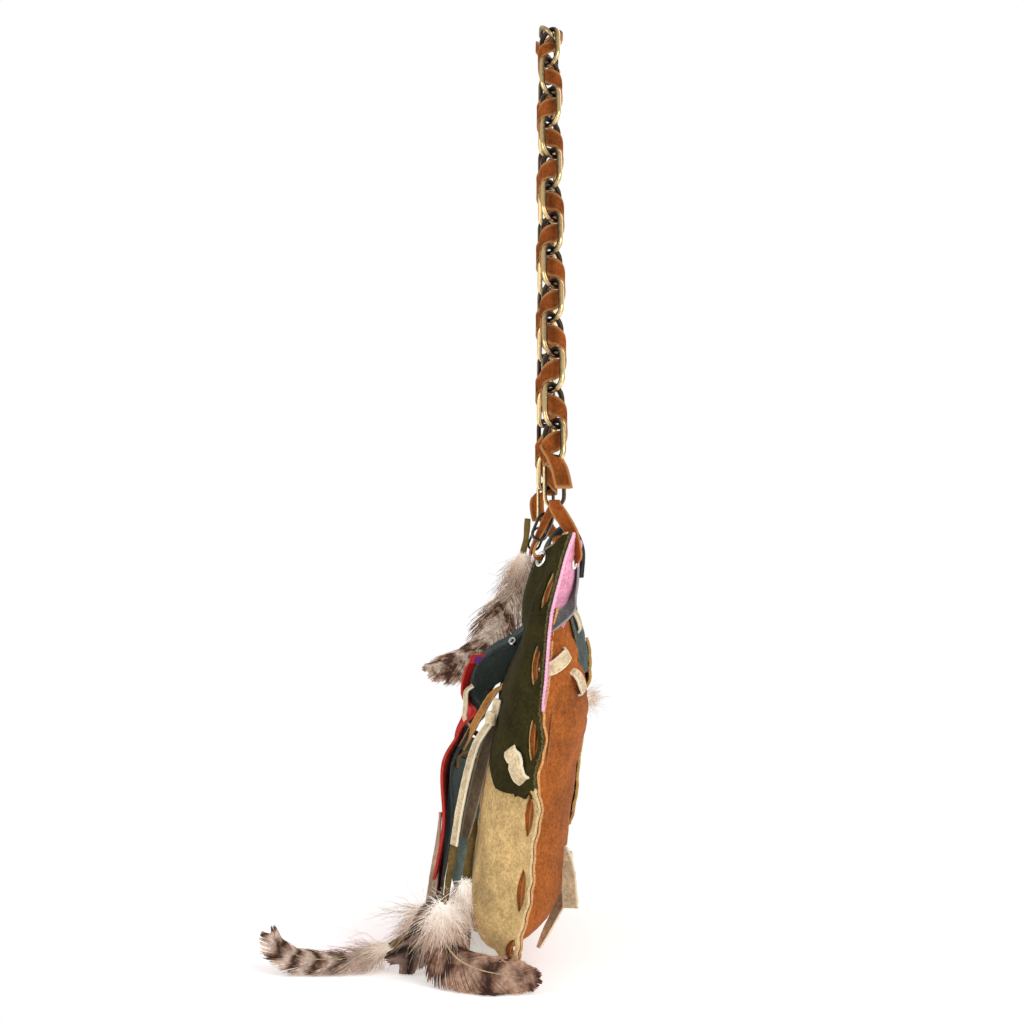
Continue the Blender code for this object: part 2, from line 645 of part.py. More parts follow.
slit_points, slit_faces = [], []
for place in stitch_places:
    point, heading, facing = seam_frame(place)
    across = np.cross(facing, heading)
    leaf = ((-0.5, 0.0), (-0.34, 0.5), (0.34, 0.5), (0.5, 0.0), (0.34, -0.5), (-0.34, -0.5))
    base = len(slit_points)
    for reach in (-SLIT_REACH, SLIT_REACH):
        for run, spread in leaf:
            slit_points.append(point + heading * run * SLIT_LENGTH
                               + across * spread * SLIT_WIDTH + facing * reach)
    slit_faces += [tuple(base + k for k in face) for face in tube_faces(2, len(leaf))]


def disc(centre, axis, radius, depth, sides=12):
    """Short cylinder round an axis."""
    side_a = unit(np.cross(axis, (0.0, 0.0, 1.0)))
    side_b = np.cross(axis, side_a)
    vertices = []
    for end in (-1, 1):
        for k in range(sides):
            turn = 2 * math.pi * k / sides
            spoke = side_a * math.cos(turn) + side_b * math.sin(turn)
            vertices.append(centre + axis * end * depth / 2 + spoke * radius)
    return vertices, tube_faces(2, sides)


EYELET_X = MOUTH_HALF_WIDTH - EYELET_INSET
EYELET_Z = BAG_HEIGHT - EYELET_DROP


def eyelet_cutter(surface_y, side):
    """Hole cutters for both ends of one panel."""
    vertices, faces = [], []
    for x in (EYELET_X, -EYELET_X):
        normal = surface_normal(surface_y, x, EYELET_Z, side)
        centre = np.array([x, float(surface_y(x, EYELET_Z)), EYELET_Z]) + normal * SUEDE
        points, more = disc(centre, normal, EYELET_HOLE / 2 + BARREL_WALL + GAP, 2 * EYELET_OUTER)
        faces += [tuple(len(vertices) + k for k in face) for face in more]
        vertices += points
    return vertices, faces


slits = cutter("slit_cutter", slit_points, slit_faces)
front_holes = cutter("front_hole_cutter", *eyelet_cutter(front_y, -1))
back_holes = cutter("back_hole_cutter", *eyelet_cutter(back_y, 1))

points, faces = sheet(panel_grid(FRONT_MOUTH, front_y, FRONT_ROWS), SUEDE, (0.0, -1.0, 0.0))
front_panel = bag_piece("front_panel", points, faces, SAND)
points, faces = sheet(panel_grid(BACK_MOUTH, back_y, BACK_ROWS), SUEDE, (0.0, 1.0, 0.0))
back_panel = bag_piece("back_panel", points, faces, RUST)
for panel, holes in ((front_panel, front_holes), (back_panel, back_holes)):
    cut(panel, slits)
    cut(panel, holes)

# Corner patches

for end, side in (("near", 1), ("far", -1)):
    for name, surface_y, facing, edges, rows, look, holes in (
            ("olive_patch", front_y, -1, OLIVE_EDGES, 8, OLIVE, front_holes),
            ("pink_patch", back_y, 1, PINK_EDGES, 6, PINK, back_holes)):
        columns = [(MOUTH_HALF_WIDTH - place) * side for place in PATCH_PLACES[:len(edges)]]
        points, faces = overlay(surface_y, facing, columns, edges, rows)
        cut(bag_piece(f"{name}_{end}", points, faces, look), holes)

# Back patches

back_columns = np.linspace(-BACK_PATCH_HALF_WIDTH, BACK_PATCH_HALF_WIDTH, 9)
joint_line = smooth(SLATE_LOWER_EDGE)(back_columns)
gold_base = GOLD_BASE + GOLD_WAVE * (1 - np.cos(back_columns / GOLD_WAVE_LENGTH))
slate_top = SLATE_TOP - SLATE_DROP * np.abs(back_columns) / BACK_PATCH_HALF_WIDTH
gold_top = joint_line - PATCH_JOINT / BAG_HEIGHT
points, faces = overlay(back_y, 1, back_columns, np.stack([joint_line, slate_top], axis=1), 6)
bag_piece("back_slate_patch", points, faces, SLATE)
points, faces = overlay(back_y, 1, back_columns, np.stack([gold_base, gold_top], axis=1), 6)
bag_piece("back_gold_patch", points, faces, GOLD)

# Front pocket, sewn to the front panel at its sides and base and open at the top

pocket_columns = POCKET_HALF_WIDTH * np.sin(np.linspace(-1, 1, 13) * math.pi / 2)
pocket_base = POCKET_BASE + POCKET_CORNER_RISE / BAG_HEIGHT * (pocket_columns / POCKET_HALF_WIDTH) ** 6
pocket_edges = np.stack([pocket_base, np.full(len(pocket_columns), POCKET_TOP)], axis=1)
pocket_flat = overlay_grid(front_y, pocket_columns, pocket_edges, 8)
pocket_share = np.clip((pocket_flat[..., 2] / BAG_HEIGHT - POCKET_BASE) / (POCKET_TOP - POCKET_BASE), 0, 1)
pocket_rise = (1 - (1 - pocket_share) ** 2) * (1 - POCKET_LIP * pocket_share ** 3)
pocket_cross = np.clip(1 - np.abs(pocket_flat[..., 0] / POCKET_HALF_WIDTH) ** 4, 0, 1) ** 0.6
pocket = lifted(pocket_flat, -1, SUEDE + PATCH_LIFT)
pocket[..., 1] -= POCKET_FULLNESS * pocket_rise * pocket_cross
points, faces = sheet(pocket, SUEDE, (0.0, -1.0, 0.0))
bag_piece("front_pocket", points, faces, SLATE)

# Flap and its layers

flap_width = smooth(FLAP_HALF_WIDTH)


def flap_grid(start, end, rows, narrower, columns=9):
    """Grid on the flap's inner face between two shares of its length."""
    shares = np.linspace(start, end, rows)
    middle = along(np.array(FLAP_LINE) * (1.0, BAG_HEIGHT), at=shares)
    grid = []
    for share, (y, z) in zip(shares, middle):
        half = float(flap_width(share)) - narrower
        cross = np.sin(np.linspace(-1, 1, columns) * math.pi / 2)
        fall = FLAP_EDGE_FALL * np.clip((share - 0.5) / 0.2, 0, 1) * (half * cross / FLAP_WIDEST) ** 2
        grid.append(np.stack([half * cross, y + fall * 0.6, z + fall * 0.8], axis=1))
    return np.array(grid)


def flap_layer(grid, lift):
    """Sheet over the flap at a distance from its inner face, thickened outward."""
    outward = unit(np.cross(np.gradient(grid, axis=0), np.gradient(grid, axis=1)))
    return sheet(grid + outward * lift, SUEDE, outward)


for name, start, end, rows, narrower, lift, look in (
        ("flap", 0.0, 1.0, 24, 0.0, 0.0, DARK),
        ("flap_red_layer", RED_START, RED_END, 12, RED_INSET, SUEDE + PATCH_LIFT, RED),
        ("flap_purple_strip", PURPLE_START, PURPLE_END, 4, PURPLE_INSET, SUEDE + PATCH_LIFT, PURPLE)):
    points, faces = flap_layer(flap_grid(start, end, rows, narrower), lift)
    bag_piece(name, points, faces, look)

# Lacing that runs round the seam through the slits of both panels

seam_face = GAP / 2 + SUEDE + GAP + SEAM_LACE_THICK / 2 + LACE_CLEARANCE
stitch_shape = ((-STITCH_PITCH / 2, -seam_face - 0.7), (-STITCH_FOOT, -seam_face - 0.35),
                (-STITCH_CREST, seam_face), (0.0, seam_face + STITCH_ARCH), (STITCH_CREST, seam_face),
                (STITCH_FOOT, -seam_face - 0.35))
path, across = [], []
for place in stitch_places:
    for run, height in stitch_shape[1 if place == first_stitch else 0:]:
        point, heading, facing = seam_frame(place + run)
        path.append(point + facing * height)
        across.append(np.cross(facing, heading))
points, faces = ribbon(np.array(path), np.array(across), SEAM_LACE_WIDTH, SEAM_LACE_THICK)
bag_piece("seam_lacing", points, faces, LACE)


# Eyelets, corner laces and the links on them

def on_panel(surface_y, side, x, z, lift=0.0):
    """Point above a panel's inner face, with the panel's outward direction there."""
    normal = surface_normal(surface_y, x, z, side)
    return np.array([x, float(surface_y(x, z)), z]) + normal * lift, normal


def turned_round(profile, centre, axis, sides=10):
    """Closed ring turned from (radius, height) points."""
    side_a = unit(np.cross(axis, (0.0, 0.0, 1.0)))
    side_b = np.cross(axis, side_a)
    vertices = []
    for k in range(sides):
        angle = 2 * math.pi * k / sides
        outward = side_a * math.cos(angle) + side_b * math.sin(angle)
        vertices += [centre + outward * radius + axis * height for radius, height in profile]
    return np.array(vertices), tube_faces(sides, len(profile), closed=True)


patched = 2 * SUEDE + PATCH_LIFT
eyelet_profile = ((EYELET_HOLE / 2, -0.8), (EYELET_HOLE / 2 + BARREL_WALL, -0.8),
                  (EYELET_HOLE / 2 + BARREL_WALL, patched + GAP), (EYELET_OUTER / 2, patched + GAP),
                  (EYELET_OUTER / 2 - 0.5, patched + GAP + EYELET_LIP),
                  (EYELET_HOLE / 2, patched + GAP + EYELET_LIP))
eyelets = {}
for face, surface_y, side in (("front", front_y, -1), ("back", back_y, 1)):
    centre, normal = on_panel(surface_y, side, EYELET_X, EYELET_Z)
    eyelets[face] = (centre, normal)
    points, faces = turned_round(eyelet_profile, centre, normal)
    bag_piece(f"{face}_eyelet_near", points, faces, NICKEL)
    bag_piece(f"{face}_eyelet_far", mirrored(points), faces, NICKEL)

wire_z = AXIS_HEIGHT - ring_arc
leg = RING_WIRE / 2 + 2 * GAP + CORNER_LACE_THICK / 2 + 0.2
front_hole, front_out = eyelets["front"]
back_hole, back_out = eyelets["back"]
lace_route = np.array([
    (RING_X, 0.0, wire_z + leg),
    (RING_X + leg, 0.5, wire_z),
    (RING_X + leg - 0.6, 7.0, AXIS_HEIGHT - 11.0),
    (RING_X - 3.0, 16.5, AXIS_HEIGHT - 20.0),
    back_hole + back_out * (patched + 5.5) + (1.0, 0.0, 1.5),
    back_hole + back_out * (patched / 2),
    back_hole - back_out * 4.0,
    front_hole - front_out * 4.0,
    front_hole + front_out * (patched / 2),
    front_hole + front_out * (patched + 4.5) + (1.0, 0.0, 2.0),
    (RING_X - 4.6, -6.6, AXIS_HEIGHT - 17.0),
    (RING_X - leg, -0.8, wire_z)])
lace_across = np.array([SIDEWAYS, SIDEWAYS, SIDEWAYS, (1, 0.3, 0), (1, 0, 0), (0, 0, 1), (0, 0, 1),
                        (0, 0, 1), (0, 0, 1), (1, 0, 0), (0.3, 1, 0), SIDEWAYS], dtype=float)
route = along(np.hstack([lace_route, lace_across]), CORNER_LACE_STEPS, closed=True)
points, faces = ribbon(route[:, :3], route[:, 3:], CORNER_LACE_WIDTH, CORNER_LACE_THICK, closed=True)
bag_piece("corner_lace_near", points, faces, LACE)
bag_piece("corner_lace_far", mirrored(points), faces, LACE)

before_link, at_link, after_link = lace_route[9:]
link_heading = unit(unit(after_link - before_link) * CORNER_LINK_LENGTH / 2 - (CORNER_LINK_LEAN, 0.0, 0.0))
shape, faces = oval((CORNER_LINK_LENGTH - CORNER_LINK_WIRE) / 2,
                    (CORNER_LINK_WIDTH - CORNER_LINK_WIRE) / 2, CORNER_LINK_WIRE)
points = turned(shape, link_heading, SIDEWAYS - link_heading * link_heading[1], at_link + (0.0, 0.0, 0.5))
bag_piece("corner_link_near", points, faces, BRASS)
bag_piece("corner_link_far", mirrored(points), faces, BRASS)


# Laces on the front, the flap and the back

def lace_piece(name, route, across, width, thick, count, look, taper=None):
    """Flat lace along a hand-placed route."""
    across = np.broadcast_to(np.array(across, dtype=float), np.shape(route))
    course = along(np.hstack([route, across]), count)
    if taper is not None:
        width = width * np.interp(np.linspace(0, 1, count), *zip(*taper))
    points, faces = ribbon(course[:, :3], course[:, 3:], width, thick)
    bag_piece(name, points, faces, look)


def hung(route):
    """Points from (place in from the base's end, depth, share of the bag's height)."""
    return np.array([(BASE_HALF_WIDTH - inset, depth, share * BAG_HEIGHT) for inset, depth, share in route])


over_patch = patched + GAP + LACE_THICK / 2 + LACE_CLEARANCE
knot_x = BASE_HALF_WIDTH - KNOT_INSET
knot, knot_out = on_panel(front_y, -1, knot_x, KNOT_Z * BAG_HEIGHT, over_patch + TIE_LOOSE)
tie_top, _ = on_panel(front_y, -1, knot_x, KNOT_Z * BAG_HEIGHT + TIE_RISE, over_patch + TIE_LOOSE)
tie_below = knot + np.array(TIE_FALL)
tie_end = tie_below[-1]
lace_piece("tie_lace", [tie_top, knot, *tie_below], (1.0, 0.6, 0.0), TIE_WIDTH, LACE_THICK, 14, CREAM)
wrap_axis = unit(np.cross(knot_out, (1.0, 0.6, 0.0)))
wrap_side = np.cross(wrap_axis, knot_out)
wrap_half = (TIE_WIDTH / 2 + 1.2, 1.6)
wrap = np.array([knot + wrap_side * wrap_half[0] * math.cos(turn)
                 + knot_out * (wrap_half[1] * math.sin(turn) + 0.9)
                 for turn in np.linspace(0, 2 * math.pi, 10, endpoint=False)])
points, faces = ribbon(wrap, np.tile(wrap_axis, (len(wrap), 1)), KNOT_WIDTH, LACE_THICK, closed=True)
knot_wrap = cutter("tie_knot_wrap", points, faces)
join = bpy.data.objects["tie_lace"].modifiers.new("knot", "BOOLEAN")
join.operation = "UNION"
join.solver = "EXACT"
join.object = knot_wrap


def on_flap(place, share, lift):
    """Point in front of the flap's outer layer, at a share of its greatest half width."""
    fall = FLAP_EDGE_FALL * place ** 2
    depth, height = np.array(FLAP_LINE[-8:])[::-1].T
    middle = np.interp(share * BAG_HEIGHT - 0.8 * fall, height * BAG_HEIGHT, depth)
    return np.array([place * FLAP_WIDEST, middle + 0.6 * fall - 2 * SUEDE - PATCH_LIFT - lift,
                     share * BAG_HEIGHT])


over_flap = GAP + LACE_THICK / 2 + 3 * LACE_CLEARANCE
hanging_route = [on_flap(place, share, over_flap + loose) for place, share, loose in HANGING_ROUTE]
hanging_end = hanging_route[-1]
lace_piece("flap_hanging_lace", hanging_route, (1.0, 0.0, 0.6), HANGING_LACE_WIDTH, LACE_THICK, 10, CREAM)

for name, places, across, width, count, look, taper in (
        ("back_grey_lace", GREY_ROUTE, (1.0, 0.0, 0.6), GREY_LACE_WIDTH, 10, GREY, None),
        ("back_base_lace", BASE_ROUTE, (1.0, 0.0, 0.3), BASE_LACE_WIDTH, 9, CREAM, BASE_TAPER)):
    route = [on_panel(back_y, 1, BASE_HALF_WIDTH - inset, share * BAG_HEIGHT, lift)[0]
             for inset, share, lift in places]
    lace_piece(name, route, across, width, LACE_THICK, count, look, taper)


# Feathers, each with its quill in a suede sleeve

def feather(name, sleeve, vane, widths, facing):
    """Feather solid: a round sleeve, a quill and a flat vane along one bent line."""
    sleeve = np.array(sleeve, dtype=float)
    vane = along(vane, len(widths))
    quill = sleeve[-1] + unit(vane[0] - sleeve[-1]) * QUILL_START
    course = np.vstack([sleeve, quill, vane])
    heading = directions(course)
    across = unit(np.cross(heading, np.broadcast_to(np.array(facing, dtype=float), heading.shape)))
    normal = np.cross(across, heading)
    sizes = [(SLEEVE_RADIUS, SLEEVE_RADIUS)] * len(sleeve) + [(QUILL_RADIUS, QUILL_RADIUS)]
    sizes += [(width / 2, VANE_THICK / 2) for width in widths]
    vertices = []
    for i, (half, high) in enumerate(sizes):
        for k in range(6):
            angle = math.pi * k / 3
            vertices.append(course[i] + across[i] * half * math.cos(angle)
                            + normal[i] * high * math.sin(angle) * 1.15)
    bag_piece(name, vertices, tube_faces(len(course), 6), FEATHER)


def from_top(route):
    """Points from (place out from the far ring, depth, drop below the swing axis)."""
    return np.array([(-RING_X + inset, depth, AXIS_HEIGHT - drop) for inset, depth, drop in route])


feather("upper_feather", from_top(UPPER_SLEEVE), from_top(UPPER_VANE), UPPER_WIDTHS, (0.5, -0.6, 0.7))
feather("front_feather", tie_end + np.array(FRONT_SLEEVE), hung(FRONT_VANE), FRONT_WIDTHS,
        (0.3, -0.1, 1.0))
feather("dark_feather", tie_end + np.array(DARK_SLEEVE), hung(DARK_VANE), DARK_WIDTHS, (1.0, 0.0, 0.0))
side_x, side_z = BASE_HALF_WIDTH - SIDE_FEATHER_INSET, SIDE_FEATHER_TOP * BAG_HEIGHT
side_top, _ = on_panel(front_y, -1, side_x, side_z, SUEDE + GAP + SLEEVE_RADIUS * 1.15)
feather("side_feather", side_top + np.array(SIDE_SLEEVE), side_top + np.array(SIDE_VANE), SIDE_WIDTHS,
        (1.0, 0.0, 0.0))
feather("floor_feather", hanging_end + np.array(FLOOR_SLEEVE), hung(FLOOR_VANE), FLOOR_WIDTHS,
        (0.0, 0.0, 1.0))
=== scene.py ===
import json
import math
from functools import partial

import bpy
import numpy as np
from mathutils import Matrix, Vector, kdtree, noise


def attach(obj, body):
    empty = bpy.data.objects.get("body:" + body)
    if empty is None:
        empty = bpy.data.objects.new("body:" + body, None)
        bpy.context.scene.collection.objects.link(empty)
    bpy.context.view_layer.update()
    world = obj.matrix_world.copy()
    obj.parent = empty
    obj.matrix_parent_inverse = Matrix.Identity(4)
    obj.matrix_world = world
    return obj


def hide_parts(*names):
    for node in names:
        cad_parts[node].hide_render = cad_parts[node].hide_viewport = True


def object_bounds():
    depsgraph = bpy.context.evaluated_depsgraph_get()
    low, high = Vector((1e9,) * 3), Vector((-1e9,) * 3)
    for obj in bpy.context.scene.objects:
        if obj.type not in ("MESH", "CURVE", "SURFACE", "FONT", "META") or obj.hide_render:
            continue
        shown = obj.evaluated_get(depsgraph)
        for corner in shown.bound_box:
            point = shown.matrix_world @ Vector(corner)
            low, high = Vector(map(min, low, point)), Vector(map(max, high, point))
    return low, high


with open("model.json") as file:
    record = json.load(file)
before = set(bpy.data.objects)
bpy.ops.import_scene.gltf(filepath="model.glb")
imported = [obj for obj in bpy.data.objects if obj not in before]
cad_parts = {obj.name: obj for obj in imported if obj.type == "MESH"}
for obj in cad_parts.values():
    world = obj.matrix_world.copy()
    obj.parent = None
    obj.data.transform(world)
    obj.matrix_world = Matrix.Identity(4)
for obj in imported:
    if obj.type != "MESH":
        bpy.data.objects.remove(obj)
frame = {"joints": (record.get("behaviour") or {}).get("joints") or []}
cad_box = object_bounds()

# Lengths are millimetres. Points on the bag are given from the middle of its base, under the strap.
MM = 0.001
random = np.random.default_rng(11)

# Camera: the bag is seen from its near end, a little from below
CAMERA_AT = (1.100, -0.0235, -0.3403)
CAMERA_PITCH = 92.47
CAMERA_LENS = 61.9
CAMERA_SENSOR = 36
WHITE = (1, 1, 1)
LAMPS_AIM = (0, -0.02, -0.35)
LAMP_SIZE = 1.2
LAMPS = (("key_lamp", (1.3, 0.9, 0.35), 14), ("front_lamp", (1.2, -1.3, 0.15), 10),
         ("far_lamp", (-1.2, 0.6, 0.5), 8))
WORLD_LIGHT = 0.55
FLOOR_GLOW = 0.3
FLOOR_BELOW_PART = 0.0006
FLOOR_SHADOW_FROM, FLOOR_SHADOW_TO = 0.16, 0.34

# Clearances and sheets, as the solids have them
GAP = 0.3
SUEDE = 1.6
PATCH_LIFT = 1
LACE_THICK = 1.4
OVER_PANEL = SUEDE + PATCH_LIFT
EDGE_GRAIN = 7
EDGE_RAGGED = 0.35

# Chain strap
LINK_PITCH = 23.1
LINK_WIRE = 3.2
LINK_WIDTH = 17
LINKS_PER_RUN = 13
APEX_SLACK = 1.5
RING_SLACK = 1.32
RING_WIRE = 2.4
RING_HEIGHT = 30
RING_WIDTH = 13
RING_INSET = 12
LACE_ALONG = 14.5
TAB_WIDTH = 9.5
WEAVE_SIDEWAYS = 7.4
WEAVE_DEPTH = 4.5
APEX_EXTRA = 1.2
APEX_PINCH = 0.5
NEAR_TAB = ((6, -4.5, 5), (8, 1, 0), (8, 3.5, -8), (8, 5, -16))
FAR_TAB = ((-6.5, 3, -1), (-7.5, -6, -5), (-7, -6.5, -14), (-7, -4.5, -24))

# Bag body
BAG_HEIGHT = 247
BASE_HALF_WIDTH = 150
MOUTH_HALF_WIDTH = 138
CORNER_HEIGHT = 60
CORNER_ROUNDNESS = 4
FLANGE = 11
BULGE_RISE = 46
SEAM_LEAN = ((0, -23), (0.04, -22), (0.16, -15), (0.32, -10.4), (0.49, -7.4),
             (0.65, -5.8), (0.81, -2.6), (0.93, 4.5), (1, 10))
SEAM_TURN = ((0, 11), (0.6, 11), (0.7, 9.5), (0.76, 8.5), (0.82, 7.5), (0.9, 4.5), (1, 3.5))
SEAM_GAP = 0.43
FRONT_BULGE = ((0, 18), (0.12, 21), (0.32, 20), (0.455, 18.5), (0.51, 15.5), (0.56, 12.5),
               (0.66, 8), (0.71, 4.5), (0.76, 1.2), (0.82, 0.5), (1, 0.3))
EDGE_TUCK = 4.6
MOUTH_FOLD = 6.5
MOUTH_FOLD_INSET = (12, 27)
MOUTH_FOLD_RISE = (185, 222)
BACK_BULGE = ((0, 32), (0.05, 32), (0.15, 29), (0.24, 28), (0.445, 30), (0.6, 32),
              (0.7, 30.5), (0.76, 26.5), (0.845, 17), (0.95, 10.2), (1, 7.5))
FRONT_MOUTH = ((0.613, 0.899), (0.58, 0.83), (0.533, 0.737), (0.48, 0.688), (0.267, 0.68), (0, 0.68))
BACK_MOUTH = ((0.64, 0.992), (0.4, 0.98), (0, 0.972))

# Corner hardware
EYELET_INSET = 20
EYELET_DROP = 16
EYELET_HOLE = 5.4
HOLE_REACH = (-3, 8)
EYELET_OUTER = 9.4
EYELET_LIP = 0.9
RING_ABOVE_BAG = 19.5
CORNER_LACE_THICK = 1.8
CORNER_LINK_LENGTH = 19
CORNER_LINK_WIDTH = 9.6
CORNER_LINK_LEAN = 4.2
CORNER_LINK_WIRE = 1.7

# Seam lacing
FIRST_STITCH = 33
STITCH_SPACING = 41
SLIT_LENGTH = 24
SLIT_WIDTH = 6.4
SLIT_REACH = (-5.5, 6.5)
SEAM_LACE_WIDTH = 4
SEAM_LACE_THICK = 1.2
LACING_INSET = 4.6
FLANGE_SWAY = 1.9

# Front pocket
POCKET_HALF_WIDTH = 72
POCKET_TOP = 0.47
POCKET_BASE = 0.057
POCKET_FULLNESS = 20
POCKET_LIP = 0.25
POCKET_CORNER_RISE = 10

# Flap
FLAP_LINE = ((16.3, 0.9), (17, 0.964), (11.5, 1.012), (3, 1.008), (-3.3, 0.955), (-8, 0.875),
             (-13.5, 0.8), (-22, 0.75), (-34, 0.722), (-44, 0.686), (-47.5, 0.626),
             (-47, 0.573), (-51, 0.514), (-58.3, 0.449), (-61.2, 0.364), (-62.5, 0.263),
             (-64, 0.162), (-66, 0.065))
FLAP_HALF_WIDTH = ((0, 84), (0.22, 78), (0.45, 66), (0.56, 76), (0.7, 88), (0.84, 82),
                   (0.94, 58), (1, 30))
FLAP_EDGE_FALL = 7
FLAP_WIDEST = 88
RED_START, RED_END, RED_INSET = 0.458, 0.985, -1
RED_CURL = 3
PURPLE_START, PURPLE_END, PURPLE_INSET = 0.466, 0.505, 3
FLAP_CLOSER, FLAP_CLOSER_AT = 6.5, (0.15, 0.23, 0.3, 0.375)
FLAP_MIDDLE_IN, FLAP_MIDDLE_IN_AT = 19, (0.34, 0.42, 0.493, 0.545)
FLAP_RUFFLE, FLAP_RUFFLE_AT = 7, (133, 143, 146, 156)

# Laces
TIE_WIDTH = 7
KNOT_INSET = 40
KNOT_Z = 0.579
TIE_RISE = 10
TIE_LOOSE = 1
TIE_FALL = ((1, -9, -14), (2, -14, -30), (2, -18.5, -51), (2, -21.5, -70.5))
TAIL_BESIDE = ((-3, 3, -3), (-4, 6.5, 0), (-4, 7, 0), (-4, 6.5, 0), (-4, 6, 4))
HANGING_LACE_WIDTH = 6.5
LACE_CLEARANCE = 0.15
OVER_FLAP = GAP + LACE_THICK / 2 + 3 * LACE_CLEARANCE
GREY_ROUTE = ((39, 0.919, 4.6), (37, 0.887, 5), (33, 0.85, 6), (27, 0.822, 7.5),
              (21, 0.803, 7), (17, 0.788, 5.5))
HANGING_ROUTE = ((0.64, 0.34, 0), (0.68, 0.267, 0.6), (0.75, 0.186, 2), (0.86, 0.13, 3.6),
                 (0.99, 0.103, 6.6))
HANGING_ACROSS = ((1, 0, 0.6), (1, 0.4, 0.4), (0.7, 1, 0.2), (0.8, 0.8, 0.2), (1, 0.2, 0.4))
GREY_ACROSS = ((1, 0.2, 0.2), (1, 0.3, 0.1), (0.9, 0.5, -0.2), (0.6, 0.6, -0.5), (0.2, 0.65, -0.75),
               (0, 0.65, -0.75))
GREY_WIDTHS = (7, 7, 7, 7.5, 9, 9)

# Small laces and eyelets that only the scene has, at the near end
UNDER_FLAP_LACE = ((80, -28, 160), (80, -35, 154), (80, -44, 139), (80, -52.5, 123.5))
POCKET_RIM_LACE = ((69, -56, 112), (70, -55, 117.5), (70, -49, 120.5), (70, -44, 117))
SQUARE_END_LACE = ((106, 70, -1), (106, 65, 2), (105, 55, 5), (104, 41, 10.5))
BASE_LACE = ((88, 8.4, 66), (90, 8.2, 55), (93, 6, 44), (97, 1.5, 33), (101, -4, 23),
             (104, -8.5, 14.5))
FLAP_STITCH = ((0.645, -2.6), (0.63, 1.4), (0.6, 2), (0.57, 1.4), (0.55, -2.6))
FLAP_EYELET = (67, -22.5, 184)
FLAP_EYELET_FACING = (0.75, -0.35, 0.5)

# Feathers
SLEEVE_RADIUS = 2.1
BARB_THICK = 0.75
VANE_CUP = 0.12
DOWN_THICK = 0.22
UPPER_SLEEVE = ((5, -12.6, 2.5), (6, -13.8, 16.5), (8, -16.2, 27.5))
UPPER_VANE = ((9.5, -15.2, 33.2), (13, -20, 48.4), (18, -27, 62.2), (23, -33.2, 76.1),
              (29, -44.2, 89.9), (36, -60.8, 100.3), (43, -80, 107.2))
FRONT_SLEEVE = ((0.05, -0.1, -0.45), (1, -3, -17.5), (1.5, -6, -33.5))
FRONT_VANE = ((32, -61, 0.115), (26, -59, 0.08), (17, -52, 0.056), (9, -41, 0.042),
              (5, -28, 0.034), (3, -14, 0.028), (2, -8, 0.03))
DARK_SLEEVE = ((-3.8, -3.6, -17.5), (-3.4, -5.6, -28.5))
DARK_VANE = ((43.6, -65.8, 0.155), (45, -74, 0.081), (48, -87, 0.02))
SIDE_FEATHER_INSET = 49
SIDE_FEATHER_TOP = 0.344
SIDE_SLEEVE = ((0, 0, 0), (0.5, -2.4, -17), (1, -4.9, -34))
SIDE_VANE = ((1, -7.4, -39), (1.5, -8.9, -55), (2, -10.4, -75))
FLOOR_SLEEVE = ((1, -2, -1), (2, -11.5, -8), (3, -19.5, -13.5))
FLOOR_VANE = ((59, -99, 0.038), (57, -118, 0.024), (56, -138, 0.026),
              (58, -152, 0.045), (61, -161, 0.081))

AXIS_Z = frame["joints"][0]["pos_m"][2] / MM
AXIS_HEIGHT = BAG_HEIGHT + RING_ABOVE_BAG
BAG_BASE_Z = AXIS_Z - AXIS_HEIGHT
SIDEWAYS = np.array([0, 1, 0])
UP = np.array([0, 0, 1])
MIRROR = np.array([-1, 1, 1])
ENDS = (("near", np.ones(3)), ("far", MIRROR))


# Curves

def smooth(knots):
    """Monotone curve through (position, value) pairs that stays level beyond both ends."""
    xs, ys = np.array(sorted(knots), dtype=float).T
    step = np.diff(xs)
    slope = np.diff(ys) / step
    tangent = np.zeros(len(xs))
    tangent[0], tangent[-1] = slope[0], slope[-1]
    for i in range(1, len(xs) - 1):
        if slope[i - 1] * slope[i] > 0:
            before, after = 2 * step[i] + step[i - 1], step[i] + 2 * step[i - 1]
            tangent[i] = (before + after) / (before / slope[i - 1] + after / slope[i])

    def value(x):
        x = np.clip(np.asarray(x, dtype=float), xs[0], xs[-1])
        i = np.clip(np.searchsorted(xs, x, side="right") - 1, 0, len(xs) - 2)
        t = (x - xs[i]) / step[i]
        return (ys[i] * (2 * t ** 3 - 3 * t ** 2 + 1) + ys[i + 1] * (3 * t ** 2 - 2 * t ** 3)
                + step[i] * (tangent[i] * (t ** 3 - 2 * t ** 2 + t) + tangent[i + 1] * (t ** 3 - t ** 2)))
    return value


def unit(vectors):
    """Vectors scaled to length one."""
    vectors = np.asarray(vectors, dtype=float)
    return vectors / np.linalg.norm(vectors, axis=-1, keepdims=True)


def run_of(points):
    """Length reached at each point of a line."""
    return np.concatenate([[0], np.cumsum(np.linalg.norm(np.diff(points, axis=0), axis=1))])


